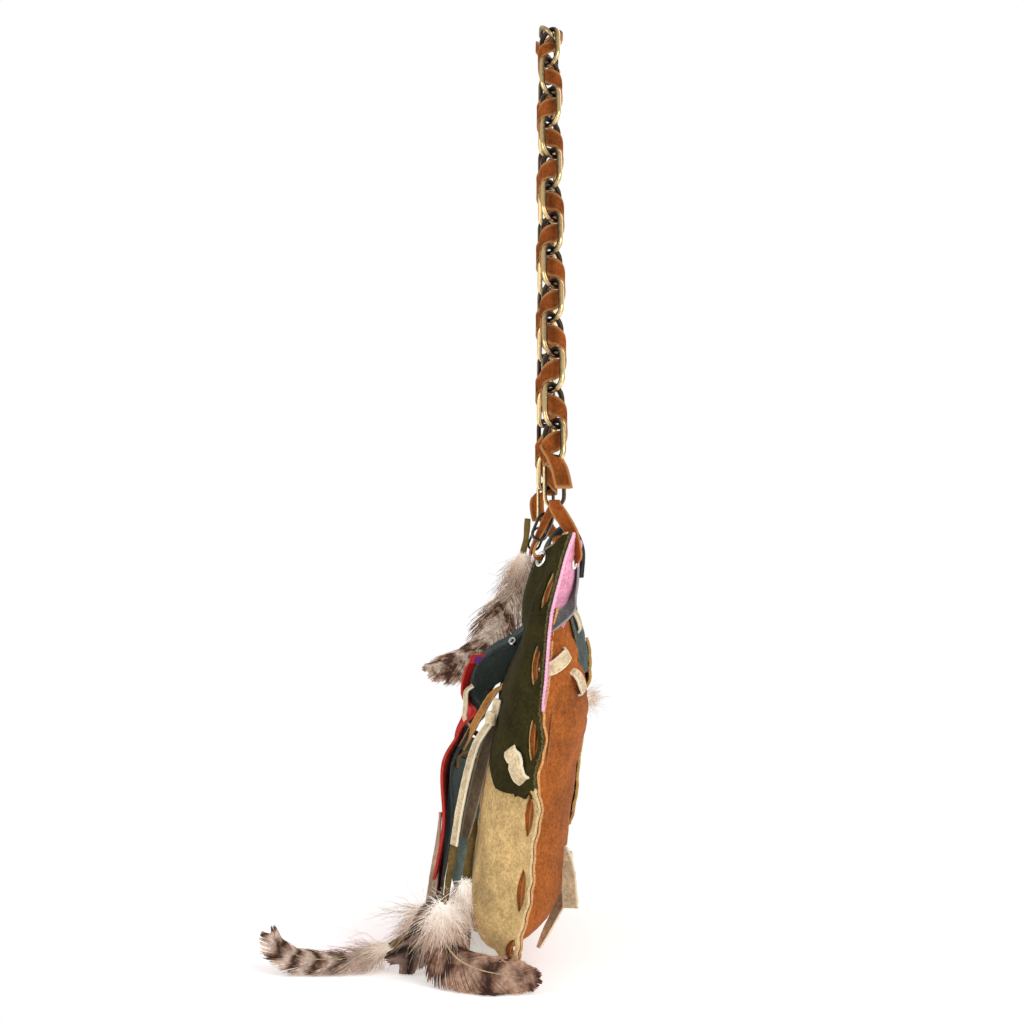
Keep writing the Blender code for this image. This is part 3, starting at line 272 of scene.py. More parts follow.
def along(points, count=None, at=None, closed=False):
    """Points read from a smooth curve through the given ones, evenly spaced or at given shares."""
    points = np.asarray(points, dtype=float)
    if closed:
        points = np.vstack([points[-3:], points, points[:4]])
    ends = (points[0] * 2 - points[1], points[-1] * 2 - points[-2])
    padded = np.vstack([ends[0], points, ends[1]])
    fine = []
    for a, b, c, d in zip(padded, padded[1:], padded[2:], padded[3:]):
        t = np.linspace(0, 1, 16, endpoint=False)[:, None]
        fine.append(0.5 * (2 * b + (c - a) * t + (2 * a - 5 * b + 4 * c - d) * t ** 2
                           + (3 * b - a - 3 * c + d) * t ** 3))
    if closed:
        fine = fine[3:-3]
    fine = np.vstack(fine + [fine[0][:1] if closed else points[-1:]])
    run = run_of(fine)
    if at is None:
        at = np.linspace(0, 1, count, endpoint=not closed)
    where = np.asarray(at) * run[-1]
    return np.stack([np.interp(where, run, fine[:, k]) for k in range(points.shape[1])], axis=1)


def eased(share):
    """Smooth step from 0 to 1, level at both ends."""
    share = np.clip(share, 0, 1)
    return share * share * (3 - 2 * share)


def directions(points, closed=False):
    """Unit tangents of a run of points."""
    if closed:
        return unit(np.roll(points, -1, axis=0) - np.roll(points, 1, axis=0))
    return unit(np.gradient(points, axis=0))


def ripple(points, scale, seed):
    """Smooth noise between -1 and 1 at points, with its grain given in millimetres."""
    flat = np.asarray(points, dtype=float).reshape(-1, 3) / scale
    values = np.array([noise.noise(Vector((x + seed * 7.3, y - seed * 3.1, z + seed))) for x, y, z in flat])
    return values.reshape(np.shape(points)[:-1])


def grid_normal(grid):
    """Unit normals of a grid of points."""
    return unit(np.cross(np.gradient(grid, axis=1), np.gradient(grid, axis=0)))


def spokes(axis, sides):
    """Unit directions all round an axis."""
    first = unit(np.cross(axis, UP))
    turns = 2 * math.pi * np.arange(sides)[:, None] / sides
    return first * np.cos(turns) + np.cross(axis, first) * np.sin(turns)


# Meshes

def mesh_object(name, points, faces, looks, material_index=None, sharp=40, on_bag=True):
    """Mesh object from points in millimetres; bag points are counted from the bag's base."""
    points = np.asarray(points, dtype=float) + (0, 0, BAG_BASE_Z if on_bag else 0)
    mesh = bpy.data.meshes.new(name)
    mesh.from_pydata((points * MM).tolist(), [], [tuple(int(k) for k in face) for face in faces])
    for look in looks:
        mesh.materials.append(look)
    if material_index is not None:
        mesh.polygons.foreach_set("material_index", np.asarray(material_index, dtype=np.int32))
    mesh.shade_smooth()
    if sharp is not None:
        mesh.set_sharp_from_angle(angle=math.radians(sharp))
    made = bpy.data.objects.new(name, mesh)
    bpy.context.scene.collection.objects.link(made)
    return made


def paint(made, name, values):
    """Number on each vertex that the material reads."""
    layer = made.data.attributes.new(name, "FLOAT", "POINT")
    layer.data.foreach_set("value", np.asarray(values, dtype=np.float32).ravel())
    return made


def dress(made, body, slot, *nodes):
    """Piece rides on a body and stands for its nodes; its slot is not used."""
    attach(made, body)
    if nodes:
        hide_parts(*nodes)
    return made


def tube_faces(stations, sides, closed=False):
    """Faces of a tube of rings, capped unless it closes on itself."""
    faces = []
    for i in range(stations if closed else stations - 1):
        j = (i + 1) % stations
        for k in range(sides):
            n = (k + 1) % sides
            faces.append((i * sides + k, j * sides + k, j * sides + n, i * sides + n))
    if not closed:
        faces.append(tuple(range(sides)))
        faces.append(tuple((stations - 1) * sides + k for k in reversed(range(sides))))
    return faces


# Cross-section of a cut lace: places over the half width and half thickness, and 1 at its cut edges
LACE_SECTION = ((-1, -0.6, 1), (-0.93, -1, 1), (-0.7, -1, 0), (0, -1.06, 0),
                (0.7, -1, 0), (0.93, -1, 1), (1, -0.6, 1), (1, 0.6, 1),
                (0.93, 1, 1), (0.7, 1, 0), (0, 1.06, 0), (-0.7, 1, 0),
                (-0.93, 1, 1), (-1, 0.6, 1))


def lace(name, points, across, width, thick, look, closed=False, cup=0, rough=0.12, on_bag=True, seed=1):
    """Cut suede lace with worn edges along a run of points; across gives the direction of its width."""
    points = np.asarray(points, dtype=float)
    heading = directions(points, closed)
    across = np.broadcast_to(np.asarray(across, dtype=float), points.shape)
    across = unit(across - np.sum(across * heading, axis=1, keepdims=True) * heading)
    normal = np.cross(heading, across)
    half = np.broadcast_to(np.asarray(width, dtype=float) / 2, len(points))[:, None]
    vertices, worn = [], []
    for spread, height, edge in LACE_SECTION:
        wobble = ripple(points, 2.2, seed + spread)[:, None] * rough * (1 + 1.5 * edge)
        bow = cup * (spread ** 2 - 0.5)
        vertices.append(points + across * (half * spread + wobble) + normal * (thick / 2 * height + bow))
        worn.append(np.full(len(points), edge))
    vertices = np.stack(vertices, axis=1).reshape(-1, 3)
    made = mesh_object(name, vertices, tube_faces(len(points), len(LACE_SECTION), closed), [look],
                       sharp=55, on_bag=on_bag)
    return paint(made, "edge", np.stack(worn, axis=1))


def sheet_solid(grid, thick, side):
    """Vertices and faces of a sheet, with a 1 for each face of its cut edge."""
    rows, columns, _ = grid.shape
    normal = grid_normal(grid)
    flip = np.where(np.sum(normal * side, axis=2, keepdims=True) < 0, -1, 1)
    outer = grid + normal * flip * thick
    count = rows * columns
    index = np.arange(count).reshape(rows, columns)
    corners = index[:-1, :-1], index[:-1, 1:], index[1:, 1:], index[1:, :-1]
    a, b, c, d = (corner.ravel() for corner in corners)
    edge = np.concatenate([index[0], index[1:, -1], index[-1, -2::-1], index[-2:0:-1, 0]])
    inward = np.concatenate([index[1], index[1:, -2], index[-2, -2::-1], index[-2:0:-1, 1]])
    middle = 2 * count + np.arange(len(edge))
    onward, after = np.roll(edge, -1), np.roll(middle, -1)
    flat, over = grid.reshape(-1, 3), outer.reshape(-1, 3)
    rim = (flat[edge] + over[edge]) / 2 + unit(flat[edge] - flat[inward]) * 0.3
    quads = ((a, b, c, d), (a + count, d + count, c + count, b + count), (edge, middle, after, onward),
             (middle, edge + count, onward + count, after))
    faces = np.vstack([np.stack(quad, axis=1) for quad in quads])
    if np.sum(flip) > 0:
        faces = faces[:, [0, 3, 2, 1]]
    cut_edge = np.concatenate([np.zeros(2 * len(a)), np.ones(2 * len(edge))])
    return np.vstack([flat, over, rim]), faces, cut_edge


def suede_sheet(name, grid, side, looks, seed):
    """Sheet of suede with a hand-cut edge, thickened to one side of its grid.

    Its looks are the face's and the cut edge's.
    """
    grid = np.array(grid, dtype=float)
    for lines, grain in ((grid, seed), (grid.transpose(1, 0, 2), seed + 2)):
        for line, inner in ((0, 1), (-1, -2)):
            out = unit(lines[line] - lines[inner])
            lines[line] += out * ripple(lines[line], EDGE_GRAIN, grain)[:, None] * EDGE_RAGGED
    vertices, faces, cut_edge = sheet_solid(grid, SUEDE, side)
    return mesh_object(name, vertices, faces, looks, cut_edge)


def cut(made, outlines, low, high, look):
    """Take prisms out of a piece; outlines are (points, axis) pairs, the cut faces get the given material."""
    vertices, faces = [], []
    for points, axis in outlines:
        faces += [tuple(len(vertices) + k for k in face) for face in tube_faces(2, len(points))]
        vertices += [point + axis * reach for reach in (low, high) for point in points]
    tool = mesh_object("cutter", vertices, faces, [look], sharp=None)
    step = made.modifiers.new("cut", "BOOLEAN")
    step.operation = "DIFFERENCE"
    step.solver = "MANIFOLD"
    step.object = tool
    step.material_mode = "TRANSFER"
    result = bpy.data.meshes.new_from_object(made.evaluated_get(bpy.context.evaluated_depsgraph_get()))
    made.modifiers.clear()
    made.data = result
    bpy.data.objects.remove(tool, do_unlink=True)


# Materials

def shader_of(look):
    """Principled shader of a material."""
    return look.node_tree.nodes["Principled BSDF"]


def new_look(name, roughness, specular):
    """New material with its roughness and specular level."""
    look = bpy.data.materials.new(name)
    look.use_nodes = True
    feed(look, shader_of(look), {"Roughness": roughness, "Specular IOR Level": specular})
    return look


def feed(look, node, values):
    """Inputs of a node by name or number; another node's socket is linked, a plain value is set."""
    for key, value in values.items():
        if isinstance(value, bpy.types.NodeSocket):
            look.node_tree.links.new(value, node.inputs[key])
        else:
            node.inputs[key].default_value = (*value, 1) if isinstance(value, tuple) else value
    return node


def add(look, kind, inputs, **settings):
    """New node in a material, with its inputs and its own settings."""
    made = look.node_tree.nodes.new("ShaderNode" + kind)
    for key, value in settings.items():
        setattr(made, key, value)
    return feed(look, made, inputs)


def given(look, name):
    """Number that the vertices carry under a name."""
    return add(look, "Attribute", {}, attribute_name=name).outputs["Fac"]


def worked(look, operation, *values):
    """Result of a math node."""
    return add(look, "Math", dict(enumerate(values)), operation=operation).outputs[0]


def remapped(look, value, **limits):
    """Value brought from one range to another; limits are named like from_min."""
    named = {key.replace("_", " ").title(): limit for key, limit in limits.items()}
    return add(look, "MapRange", {"Value": value, **named}).outputs["Result"]


def ramp(look, source, stops):
    """Colour ramp over a value; stops are (place, colour) pairs, a single number is a grey."""
    made = add(look, "ValToRGB", {"Fac": source})
    bands = made.color_ramp.elements
    while len(bands) < len(stops):
        bands.new(0.5)
    for band, (place, colour) in zip(bands, stops):
        band.position = place
        band.color = (*(colour if isinstance(colour, tuple) else (colour,) * 3), 1)
    return made.outputs["Color"]


def shade(colour, factor):
    """Colour made lighter or darker."""
    return tuple(min(1, channel * factor) for channel in colour)


def blended(look, kind, factor, first, second):
    """Mix of two colours by a factor, each a socket or a plain value."""
    return add(look, "Mix", {0: factor, 6: first, 7: second}, data_type="RGBA", blend_type=kind).outputs[2]


def field(look, scale, detail=3, roughness=0.55):
    """Noise over the object, with its scale per metre."""
    place = add(look, "TexCoord", {}).outputs["Object"]
    return add(look, "TexNoise", {"Vector": place, "Scale": scale, "Detail": detail,
                                  "Roughness": roughness}).outputs["Fac"]


def relief(look, *layers):
    """Bumps stacked on each other; layers are (height socket, strength, distance)."""
    below = {}
    for height, strength, distance in layers:
        bump = add(look, "Bump", {"Height": height, "Strength": strength, "Distance": distance, **below})
        below = {"Normal": bump.outputs["Normal"]}
    feed(look, shader_of(look), below)


def painted_glow(look, colour, strength):
    """Painted glow: emission in the material's own colour that stands in for the light barbs and folds pass
    on to each other.
    """
    feed(look, shader_of(look), {"Emission Color": colour, "Emission Strength": strength})


def suede(name, colour, contrast=1, edge_colour=None, sheen=0.04, painted_fill_glow=0):
    """Napped suede: clouds where the nap lies differently, fine speckle and soft creases.

    The painted fill glow is an emission in its own colour, given as a share of it, that stands in for the
    light reaching it in narrow gaps.
    """
    look = new_look(name, 0.95, 0.08)
    clouds = ramp(look, field(look, 38, 4, 0.6), (
        (0.3, shade(colour, 1 - 0.32 * contrast)), (0.52, colour),
        (0.74, shade(colour, 1 + 0.3 * contrast))))
    speckle = ramp(look, field(look, 620, 3, 0.75), (
        (0.36, (0.66, 0.64, 0.62)), (0.5, 1), (0.66, (1.34, 1.3, 1.24))))
    worn = ramp(look, field(look, 170, 5, 0.7), ((0.36, (0.8, 0.79, 0.78)), (0.62, 1.12)))
    whole = blended(look, "MULTIPLY", 0.8, clouds, speckle)
    whole = blended(look, "MULTIPLY", 0.8, whole, worn)
    if edge_colour is not None:
        whole = blended(look, "MIX", given(look, "edge"), whole, edge_colour)
    feed(look, shader_of(look), {"Base Color": whole, "Sheen Weight": sheen, "Sheen Roughness": 0.55})
    # Painted glow in narrow gaps, in place of the light that would reach them
    if painted_fill_glow:
        painted_glow(look, whole, painted_fill_glow)
    relief(look, (field(look, 130, 4, 0.6), 0.35, 0.0009), (field(look, 900, 3, 0.7), 0.5, 0.00025))
    return look


def raw_edge(name, colour, dark=0.55):
    """Cut edge of suede: pale fibres with dark pits."""
    look = new_look(name, 0.95, 0.15)
    fibres = ramp(look, field(look, 1100, 3, 0.7), (
        (0.35, shade(colour, dark)), (0.55, colour), (0.7, shade(colour, 1.25))))
    feed(look, shader_of(look), {"Base Color": fibres})
    relief(look, (field(look, 1000, 3, 0.7), 0.7, 0.0004))
    return look


def metal(name, bright, dark, shine, dull, patina):
    """Worn metal: a level painted on the vertices, which holds wear together with painted highlight and
    painted shade, brings out the bright metal from under its patina.
    """
    look = new_look(name, dull, 0.5)
    spots = worked(look, "MULTIPLY_ADD", field(look, 420, 4, 0.65), patina, given(look, "wear_and_painted_light"))
    level = remapped(look, spots, from_min=0.45 * patina, from_max=0.55 * patina + 1)
    middle = tuple(low + 0.38 * (high - low) for low, high in zip(dark, bright))
    tone = ramp(look, level, ((0.15, dark), (0.55, middle), (0.88, bright)))
    gloss = remapped(look, level, to_min=dull, to_max=shine)
    feed(look, shader_of(look), {"Base Color": tone, "Roughness": gloss, "Metallic": 1})
    relief(look, (field(look, 500, 3, 0.6), 0.25, 0.0002))
    return look


def plume(name, pale, brown, dark, bars, fluff, mottle=0.5):
    """Feather barbs: bars across the vane, darker towards the shaft, with paler loose tips."""
    look = new_look(name, 0.7, 0.15)
    run, out = given(look, "run"), given(look, "out")
    skew = worked(look, "MULTIPLY_ADD", out, 0.12, run)
    uneven = worked(look, "MULTIPLY_ADD", field(look, 70, 3, 0.6), mottle, skew)
    sine = worked(look, "SINE", worked(look, "MULTIPLY", uneven, bars * 2 * math.pi))
    between = tuple((low + high) / 2 for low, high in zip(brown, pale))
    level = remapped(look, sine, from_min=-1)
    whole = ramp(look, level, ((0, dark), (0.22, brown), (0.6, between), (1, pale)))
    tips = ramp(look, out, ((0, 0.75), (0.55, 1), (1, (1.3, 1.28, 1.25))))
    whole = blended(look, "MULTIPLY", 1, whole, tips)
    whole = blended(look, "MIX", ramp(look, run, ((0, 1), (fluff, 0))), whole, pale)
    streak = ramp(look, field(look, 420, 3, 0.65), ((0.35, (0.6, 0.58, 0.56)), (0.65, 1.2)))
    whole = blended(look, "MULTIPLY", 0.8, whole, streak)
    feed(look, shader_of(look), {"Base Color": whole})
    # Painted glow in the barbs' own colour, for light passed on between barbs
    painted_glow(look, whole, 0.16)
    return look


def down(name, root, middle, tip):
    """Soft down, from its root's colour to its tip's."""
    look = new_look(name, 0.85, 0.1)
    place = worked(look, "MULTIPLY_ADD", given(look, "run"), 0.35, given(look, "out"))
    tone = ramp(look, place, ((0.2, root), (0.7, middle), (1, tip)))
    feed(look, shader_of(look), {"Base Color": tone})
    # Painted glow in the down's own colour, for light passed on between strands
    painted_glow(look, tone, 0.4)
    return look


# Suedes of the sheets, each with its cut edge
SAND = suede("sand", (0.55, 0.37, 0.16)), raw_edge("sand_edge", (0.66, 0.5, 0.28))
RUST = suede("rust", (0.34, 0.098, 0.020), 1.2), raw_edge("rust_edge", (0.62, 0.33, 0.13))
OLIVE = (suede("olive", (0.032, 0.026, 0.0065), 1.1, sheen=0.01),
         raw_edge("olive_edge", (0.11, 0.095, 0.035), 0.3))
PINK = suede("pink", (0.70, 0.29, 0.42), 0.8), raw_edge("pink_edge", (0.82, 0.45, 0.58), 0.75)
SLATE = suede("slate", (0.075, 0.095, 0.085), sheen=0.03), raw_edge("slate_edge", (0.18, 0.2, 0.18))
# Flap suede: slate darkened with painted shade, as the flap lies in shade, with a painted fill glow; its cut
# edge is darkened likewise
SHADED_SLATE = (suede("shaded_slate", (0.045, 0.06, 0.057), sheen=0.02, painted_fill_glow=0.3),
        raw_edge("shaded_slate_edge", (0.05, 0.055, 0.055)))
# Pocket suede: slate lightened with painted light, as the pocket lies in shade, with a painted fill glow
LIT_POCKET_SLATE = suede("lit_pocket_slate", (0.13, 0.16, 0.145), 1.5, sheen=0.03, painted_fill_glow=0.35), SLATE[1]
GOLD = suede("gold", (0.42, 0.21, 0.04)), raw_edge("gold_edge", (0.55, 0.33, 0.1))
RED = suede("red", (0.50, 0.02, 0.016), sheen=0.03), raw_edge("red_edge", (0.55, 0.05, 0.035))
PURPLE = suede("purple", (0.08, 0.025, 0.21), sheen=0.03), raw_edge("purple_edge", (0.2, 0.1, 0.36))

# Laces and sleeves
GREY = suede("grey", (0.11, 0.115, 0.11), edge_colour=(0.3, 0.29, 0.28))
CREAM = suede("cream", (0.62, 0.49, 0.31), 0.8, edge_colour=(0.78, 0.68, 0.5))
TAUPE = suede("taupe", (0.13, 0.095, 0.06), edge_colour=(0.3, 0.24, 0.16))
DUST = suede("dust", (0.36, 0.26, 0.18), edge_colour=(0.5, 0.38, 0.28))
TAN = suede("tan", (0.45, 0.2, 0.055), edge_colour=(0.6, 0.36, 0.15))
BROWN = suede("brown", (0.24, 0.062, 0.011), 1.2, edge_colour=(0.4, 0.19, 0.07), sheen=0.02)
SLEEVE = suede("sleeve_olive_gold", (0.15, 0.1, 0.03))

# Metals and feathers
BRASS = metal("worn_brass", (0.9, 0.64, 0.3), (0.05, 0.034, 0.024), 0.16, 0.4, 0.7)
SILVER = metal("bright_nickel", (0.78, 0.77, 0.74), (0.16, 0.15, 0.14), 0.16, 0.4, 0.3)
GUNMETAL = metal("dark_link", (0.3, 0.27, 0.23), (0.03, 0.027, 0.024), 0.25, 0.5, 0.4)
UPPER_PLUME = plume("upper_plume", (0.66, 0.53, 0.43), (0.26, 0.15, 0.1), (0.08, 0.038, 0.024), 4, 0.3, 0.6)
BROWN_PLUME = plume("brown_plume", (0.44, 0.28, 0.2), (0.17, 0.085, 0.055), (0.05, 0.024, 0.016), 3, 0.08)
DARK_PLUME = plume("dark_plume", (0.2, 0.13, 0.1), (0.06, 0.035, 0.025), (0.018, 0.011, 0.009), 2.5, 0.1)
FLOOR_PLUME = plume("floor_plume", (0.62, 0.48, 0.4), (0.25, 0.15, 0.1), (0.05, 0.028, 0.02), 6, 0.35, 0.2)
WHITE_DOWN = down("white_down", (0.9, 0.87, 0.83), (0.86, 0.8, 0.74), (0.55, 0.42, 0.33))
PALE_DOWN = down("pale_down", (0.8, 0.71, 0.62), (0.62, 0.5, 0.41), (0.34, 0.23, 0.17))
SHAFT = suede("feather_shaft", (0.5, 0.38, 0.24), 0.6)

# Seam and panel surfaces

seam_lean = smooth(SEAM_LEAN)
seam_turn = smooth(SEAM_TURN)
front_bulge = smooth(FRONT_BULGE)
back_bulge = smooth(BACK_BULGE)


def seam_y(z):
    """Where the seam's outer edge stands, from the base up."""
    return seam_lean(np.asarray(z) / BAG_HEIGHT)


def outline(count):
    """The bag's outline from the near end of the mouth, round the base, to the far end."""
    rise = np.linspace(0, 1, 40)
    side_z = BAG_HEIGHT - (BAG_HEIGHT - CORNER_HEIGHT) * rise
    side_x = BASE_HALF_WIDTH - (BASE_HALF_WIDTH - MOUTH_HALF_WIDTH) * (1 - rise) ** 2
    turn = np.linspace(0, math.pi / 2, 60)[1:]
    power = 2 / CORNER_ROUNDNESS
    corner_x = BASE_HALF_WIDTH * np.clip(np.cos(turn), 0, 1) ** power
    corner_z = CORNER_HEIGHT * (1 - np.sin(turn) ** power)
    half = np.stack([np.append(side_x, corner_x), np.append(side_z, corner_z)], axis=1)
    whole = np.vstack([half, half[-2::-1] * (-1, 1)])
    run = run_of(whole)
    where = np.linspace(0, run[-1], count)
    return np.stack([np.interp(where, run, whole[:, k]) for k in range(2)], axis=1), run[-1]


OUTLINE, OUTLINE_LENGTH = outline(360)


def inset_outline(distance, at):
    """Points inside the outline at the given lengths along it, at one distance or one for each."""
    heading = np.gradient(OUTLINE, axis=0)
    inward = unit(np.stack([heading[:, 1], -heading[:, 0]], axis=1))
    run = np.linspace(0, OUTLINE_LENGTH, len(OUTLINE))
    x, z, inward_x, inward_z = (np.interp(at, run, column) for column in (*OUTLINE.T, *inward.T))
    return np.stack([x + inward_x * distance, z + inward_z * distance], axis=1)


def nearest_edge(x, z):
    """Distance from the bag's outline, and the length along it of the nearest point."""
    x, z = np.broadcast_arrays(np.asarray(x, dtype=float), np.asarray(z, dtype=float))
    points = np.stack([x.ravel(), z.ravel()], axis=1)
    gap = np.linalg.norm(points[:, None] - OUTLINE[None], axis=2)
    length = gap.argmin(axis=1) / (len(OUTLINE) - 1) * OUTLINE_LENGTH
    return gap.min(axis=1).reshape(x.shape), length.reshape(x.shape)


def flange_y(x, z):
    """Where the two panels meet: from the outer edge the flange turns forward as it goes inward."""
    edge, _ = nearest_edge(x, z)
    return seam_y(z) - seam_turn(np.asarray(z) / BAG_HEIGHT) * np.clip(edge / FLANGE, 0, 1)


def swell(edge):
    """Share of the full bulge at a distance from the outline."""
    t = np.clip((edge - FLANGE) / BULGE_RISE, 0, 1)
    return (1 - (1 - t) ** 2.2) ** (1 / 1.6)


STITCHES = round((OUTLINE_LENGTH - 2 * FIRST_STITCH) / STITCH_SPACING) + 1
STITCH_PITCH = (OUTLINE_LENGTH - 2 * FIRST_STITCH) / (STITCHES - 1)
STITCH_PLACES = [FIRST_STITCH + STITCH_PITCH * i for i in range(STITCHES)]


def creases(x, z, edge, seed):
    """Soft hollows of worn suede, none on the flange."""
    points = np.stack([x, z, np.zeros_like(x)], axis=-1)
    fade = np.clip((edge - 9) / 26, 0, 1)
    broad = ripple(points * (1, 0.6, 1), 34, seed)
    sharp = np.abs(ripple(points * (0.8, 1.3, 1), 17, seed + 4))
    return fade * (1.5 * broad - 1.1 * (0.35 - sharp).clip(0) / 0.35 * (broad > -0.2))


def flange_wave(edge, length, z):
    """How far the loose flange sways to the back around each slit, most where the bag is full."""
    sway = FLANGE_SWAY * np.clip((190 - z) / 50, 0.1, 1) * (0.6 + 0.4 * np.cos(length / 19 - 0.6))
    wave = np.cos((length - FIRST_STITCH) * 2 * math.pi / STITCH_PITCH)
    return sway * wave * np.clip(1 - edge / 13, 0, 1)


def panel_y(side, x, z):
    """Inner face of the front (-1) or back (1) panel, with the flange's waves and the creases."""
    edge, length = nearest_edge(x, z)
    inset, rise = ((value - low) / (high - low) for value, (low, high) in (
        (edge, MOUTH_FOLD_INSET), (np.asarray(z), MOUTH_FOLD_RISE)))
    fold = MOUTH_FOLD * eased(inset) * eased(rise) * (side < 0)
    bulge = (front_bulge if side < 0 else back_bulge)(np.asarray(z) / BAG_HEIGHT)
    turn = seam_turn(np.asarray(z) / BAG_HEIGHT) * np.clip(edge / FLANGE, 0, 1)
    return (seam_y(z) - turn - fold + flange_wave(edge, length, np.asarray(z))
            + side * (SEAM_GAP / 2 + bulge * swell(edge))
            + side * creases(x, z, edge, 3 if side < 0 else 8) * 0.8)


def on_surface(side, x, z):
    """Grid of points on a panel from their places along the bag and up it."""
    return np.stack([x, panel_y(side, x, z), z], axis=-1)


def lifted(grid, side, lift):
    """Grid moved off its surface by a distance, towards the front or the back."""
    normal = grid_normal(grid)
    flip = np.where(normal[..., 1:2] * side < 0, -1, 1)
    lift = np.asarray(lift, dtype=float)
    return grid + normal * flip * (lift[..., None] if lift.ndim else lift)


def surface_normal(surface_y, side, x, z):
    """Outward direction of a surface at a point."""
    step = 2
    slope_x = float(surface_y(x + step, z) - surface_y(x - step, z)) / (2 * step)
    slope_z = float(surface_y(x, z + step) - surface_y(x, z - step)) / (2 * step)
    return unit(np.array([-slope_x, 1, -slope_z]) * side)


def on_panel(side, x, z, lift=0):
    """Point above a panel's inner face, with the panel's outward direction there."""
    normal = surface_normal(partial(panel_y, side), side, x, z)
    return np.array([x, float(panel_y(side, x, z)), z]) + normal * lift, normal


# Chain geometry worked out from the link and the ring

contact = (LINK_WIRE + GAP) / 2
half_link = LINK_PITCH / 2 + contact
apex_reach = half_link - contact * APEX_SLACK
ring_contact = (LINK_WIRE / 2 + RING_WIRE / 2 + GAP) / 2 * RING_SLACK
RING_X = MOUTH_HALF_WIDTH - RING_INSET
run_length = apex_reach + LINK_PITCH * (LINKS_PER_RUN - 1) + half_link - ring_contact
run_sine = (RING_X - apex_reach) / run_length
run_cosine = math.sqrt(1 - run_sine ** 2)
bar_offset = (LINK_WIDTH - LINK_WIRE) / 2
APEX_Z = bar_offset * math.sqrt(0.5) + LINK_WIRE / 2
run_heading = np.array([run_sine, 0, -run_cosine])
run_outward = np.array([run_cosine, 0, run_sine])
ring_joint = np.array([apex_reach, 0, APEX_Z]) + run_heading * run_length
ring_half = (RING_HEIGHT - RING_WIRE) / 2
ring_arc = (RING_WIDTH - RING_WIRE) / 2
ring_centre = ring_joint + UP * (ring_contact - ring_half)


def oval_line(half_length, half_width, arc_steps=14, bar_steps=8):
    """Centreline of an oval ring, as (point, outward direction) pairs."""
    straight = half_length - half_width
    ring = []
    for end in (1, -1):
        for step in range(arc_steps + 1):
            angle = math.pi * step / arc_steps - math.pi / 2
            outward = np.array([end * math.cos(angle), end * math.sin(angle), 0])
            ring.append((outward * half_width + (end * straight, 0, 0), outward))
        for step in range(1, bar_steps):
            place = straight * (1 - 2 * step / bar_steps)
            ring.append((np.array([end * place, end * half_width, 0]), np.array([0, end, 0])))
    return ring


def oval(half_length, half_width, wire, arc_steps=14, sides=12):
    """Closed oval of round wire: vertices, faces and a level for each vertex, a painted highlight along the
    wire's outer side and painted shade on its inner side and at both ends.
    """
    ring = oval_line(half_length, half_width, arc_steps)
    vertices, painted_light_level = [], []
    for centre, outward in ring:
        for k in range(sides):
            turn = 2 * math.pi * (k + 0.5) / sides
            vertices.append(centre + wire / 2 * (outward * math.cos(turn)
                                                 + np.array([0, 0, math.sin(turn)])))
            # Painted highlight on the wire's outer side, painted shade on its inner side and at the oval's
            # ends
            painted_light_level.append(0.3 + 0.72 * math.cos(turn) - 0.5 * outward[0] ** 2)
    return np.array(vertices), tube_faces(len(ring), sides, closed=True), np.array(painted_light_level)


def turned(vertices, along_axis, width_axis, centre):
    """Vertices of a part set with its length and width along two directions."""
    along_axis, width_axis = unit(along_axis), unit(width_axis)
    frame_axes = np.stack([along_axis, width_axis, np.cross(along_axis, width_axis)])
    return vertices @ frame_axes + centre


def link_centre(index):
    """Centre, heading and outward direction of a link, counted from the top to either end."""
    if index == 0:
        return np.array([0, 0, APEX_Z]), np.array([1, 0, 0]), np.array([0, 0, 1])
    reach = apex_reach + LINK_PITCH * (abs(index) - 1)
    centre = np.array([apex_reach, 0, APEX_Z]) + run_heading * reach
    if index > 0:
        return centre, run_heading, run_outward
    return centre * MIRROR, run_heading * (1, 1, -1), run_outward * MIRROR


def link_places():
    """Heading, width direction and centre of every link, from the far end to the near end."""
    for index in range(-LINKS_PER_RUN, LINKS_PER_RUN + 1):
        centre, heading, outward = link_centre(index)
        yield heading, outward + (SIDEWAYS if index % 2 else -SIDEWAYS), centre


def chain():
    """All links and the two end rings."""
    shape, faces, painted_light_level = oval(half_link, bar_offset, LINK_WIRE)
    for number, place in enumerate(link_places(), start=1):
        link = mesh_object(f"strap_link_{number:02d}", turned(shape, *place), faces, [BRASS], on_bag=False)
        # Each link's painted highlight and shade, shifted a little from link to link
        paint(link, "wear_and_painted_light", painted_light_level + (0.1 * math.sin(number * 2.3)))
        dress(link, "strap", "aged_brass", f"chain_link_{number:02d}")
    shape, faces, painted_light_level = oval(ring_half, ring_arc, RING_WIRE, arc_steps=20)
    near = turned(shape, UP, SIDEWAYS, ring_centre)
    for end, mirror in ENDS:
        ring = mesh_object(f"strap_ring_{end}", near * mirror, faces, [BRASS], on_bag=False)
        # Each ring is also made lighter on its front half and darker on its back half
        paint(ring, "wear_and_painted_light", painted_light_level + np.where(near[:, 1] < 0, 0.2, -0.35))
        dress(ring, "strap", "aged_brass", f"end_ring_{end}")


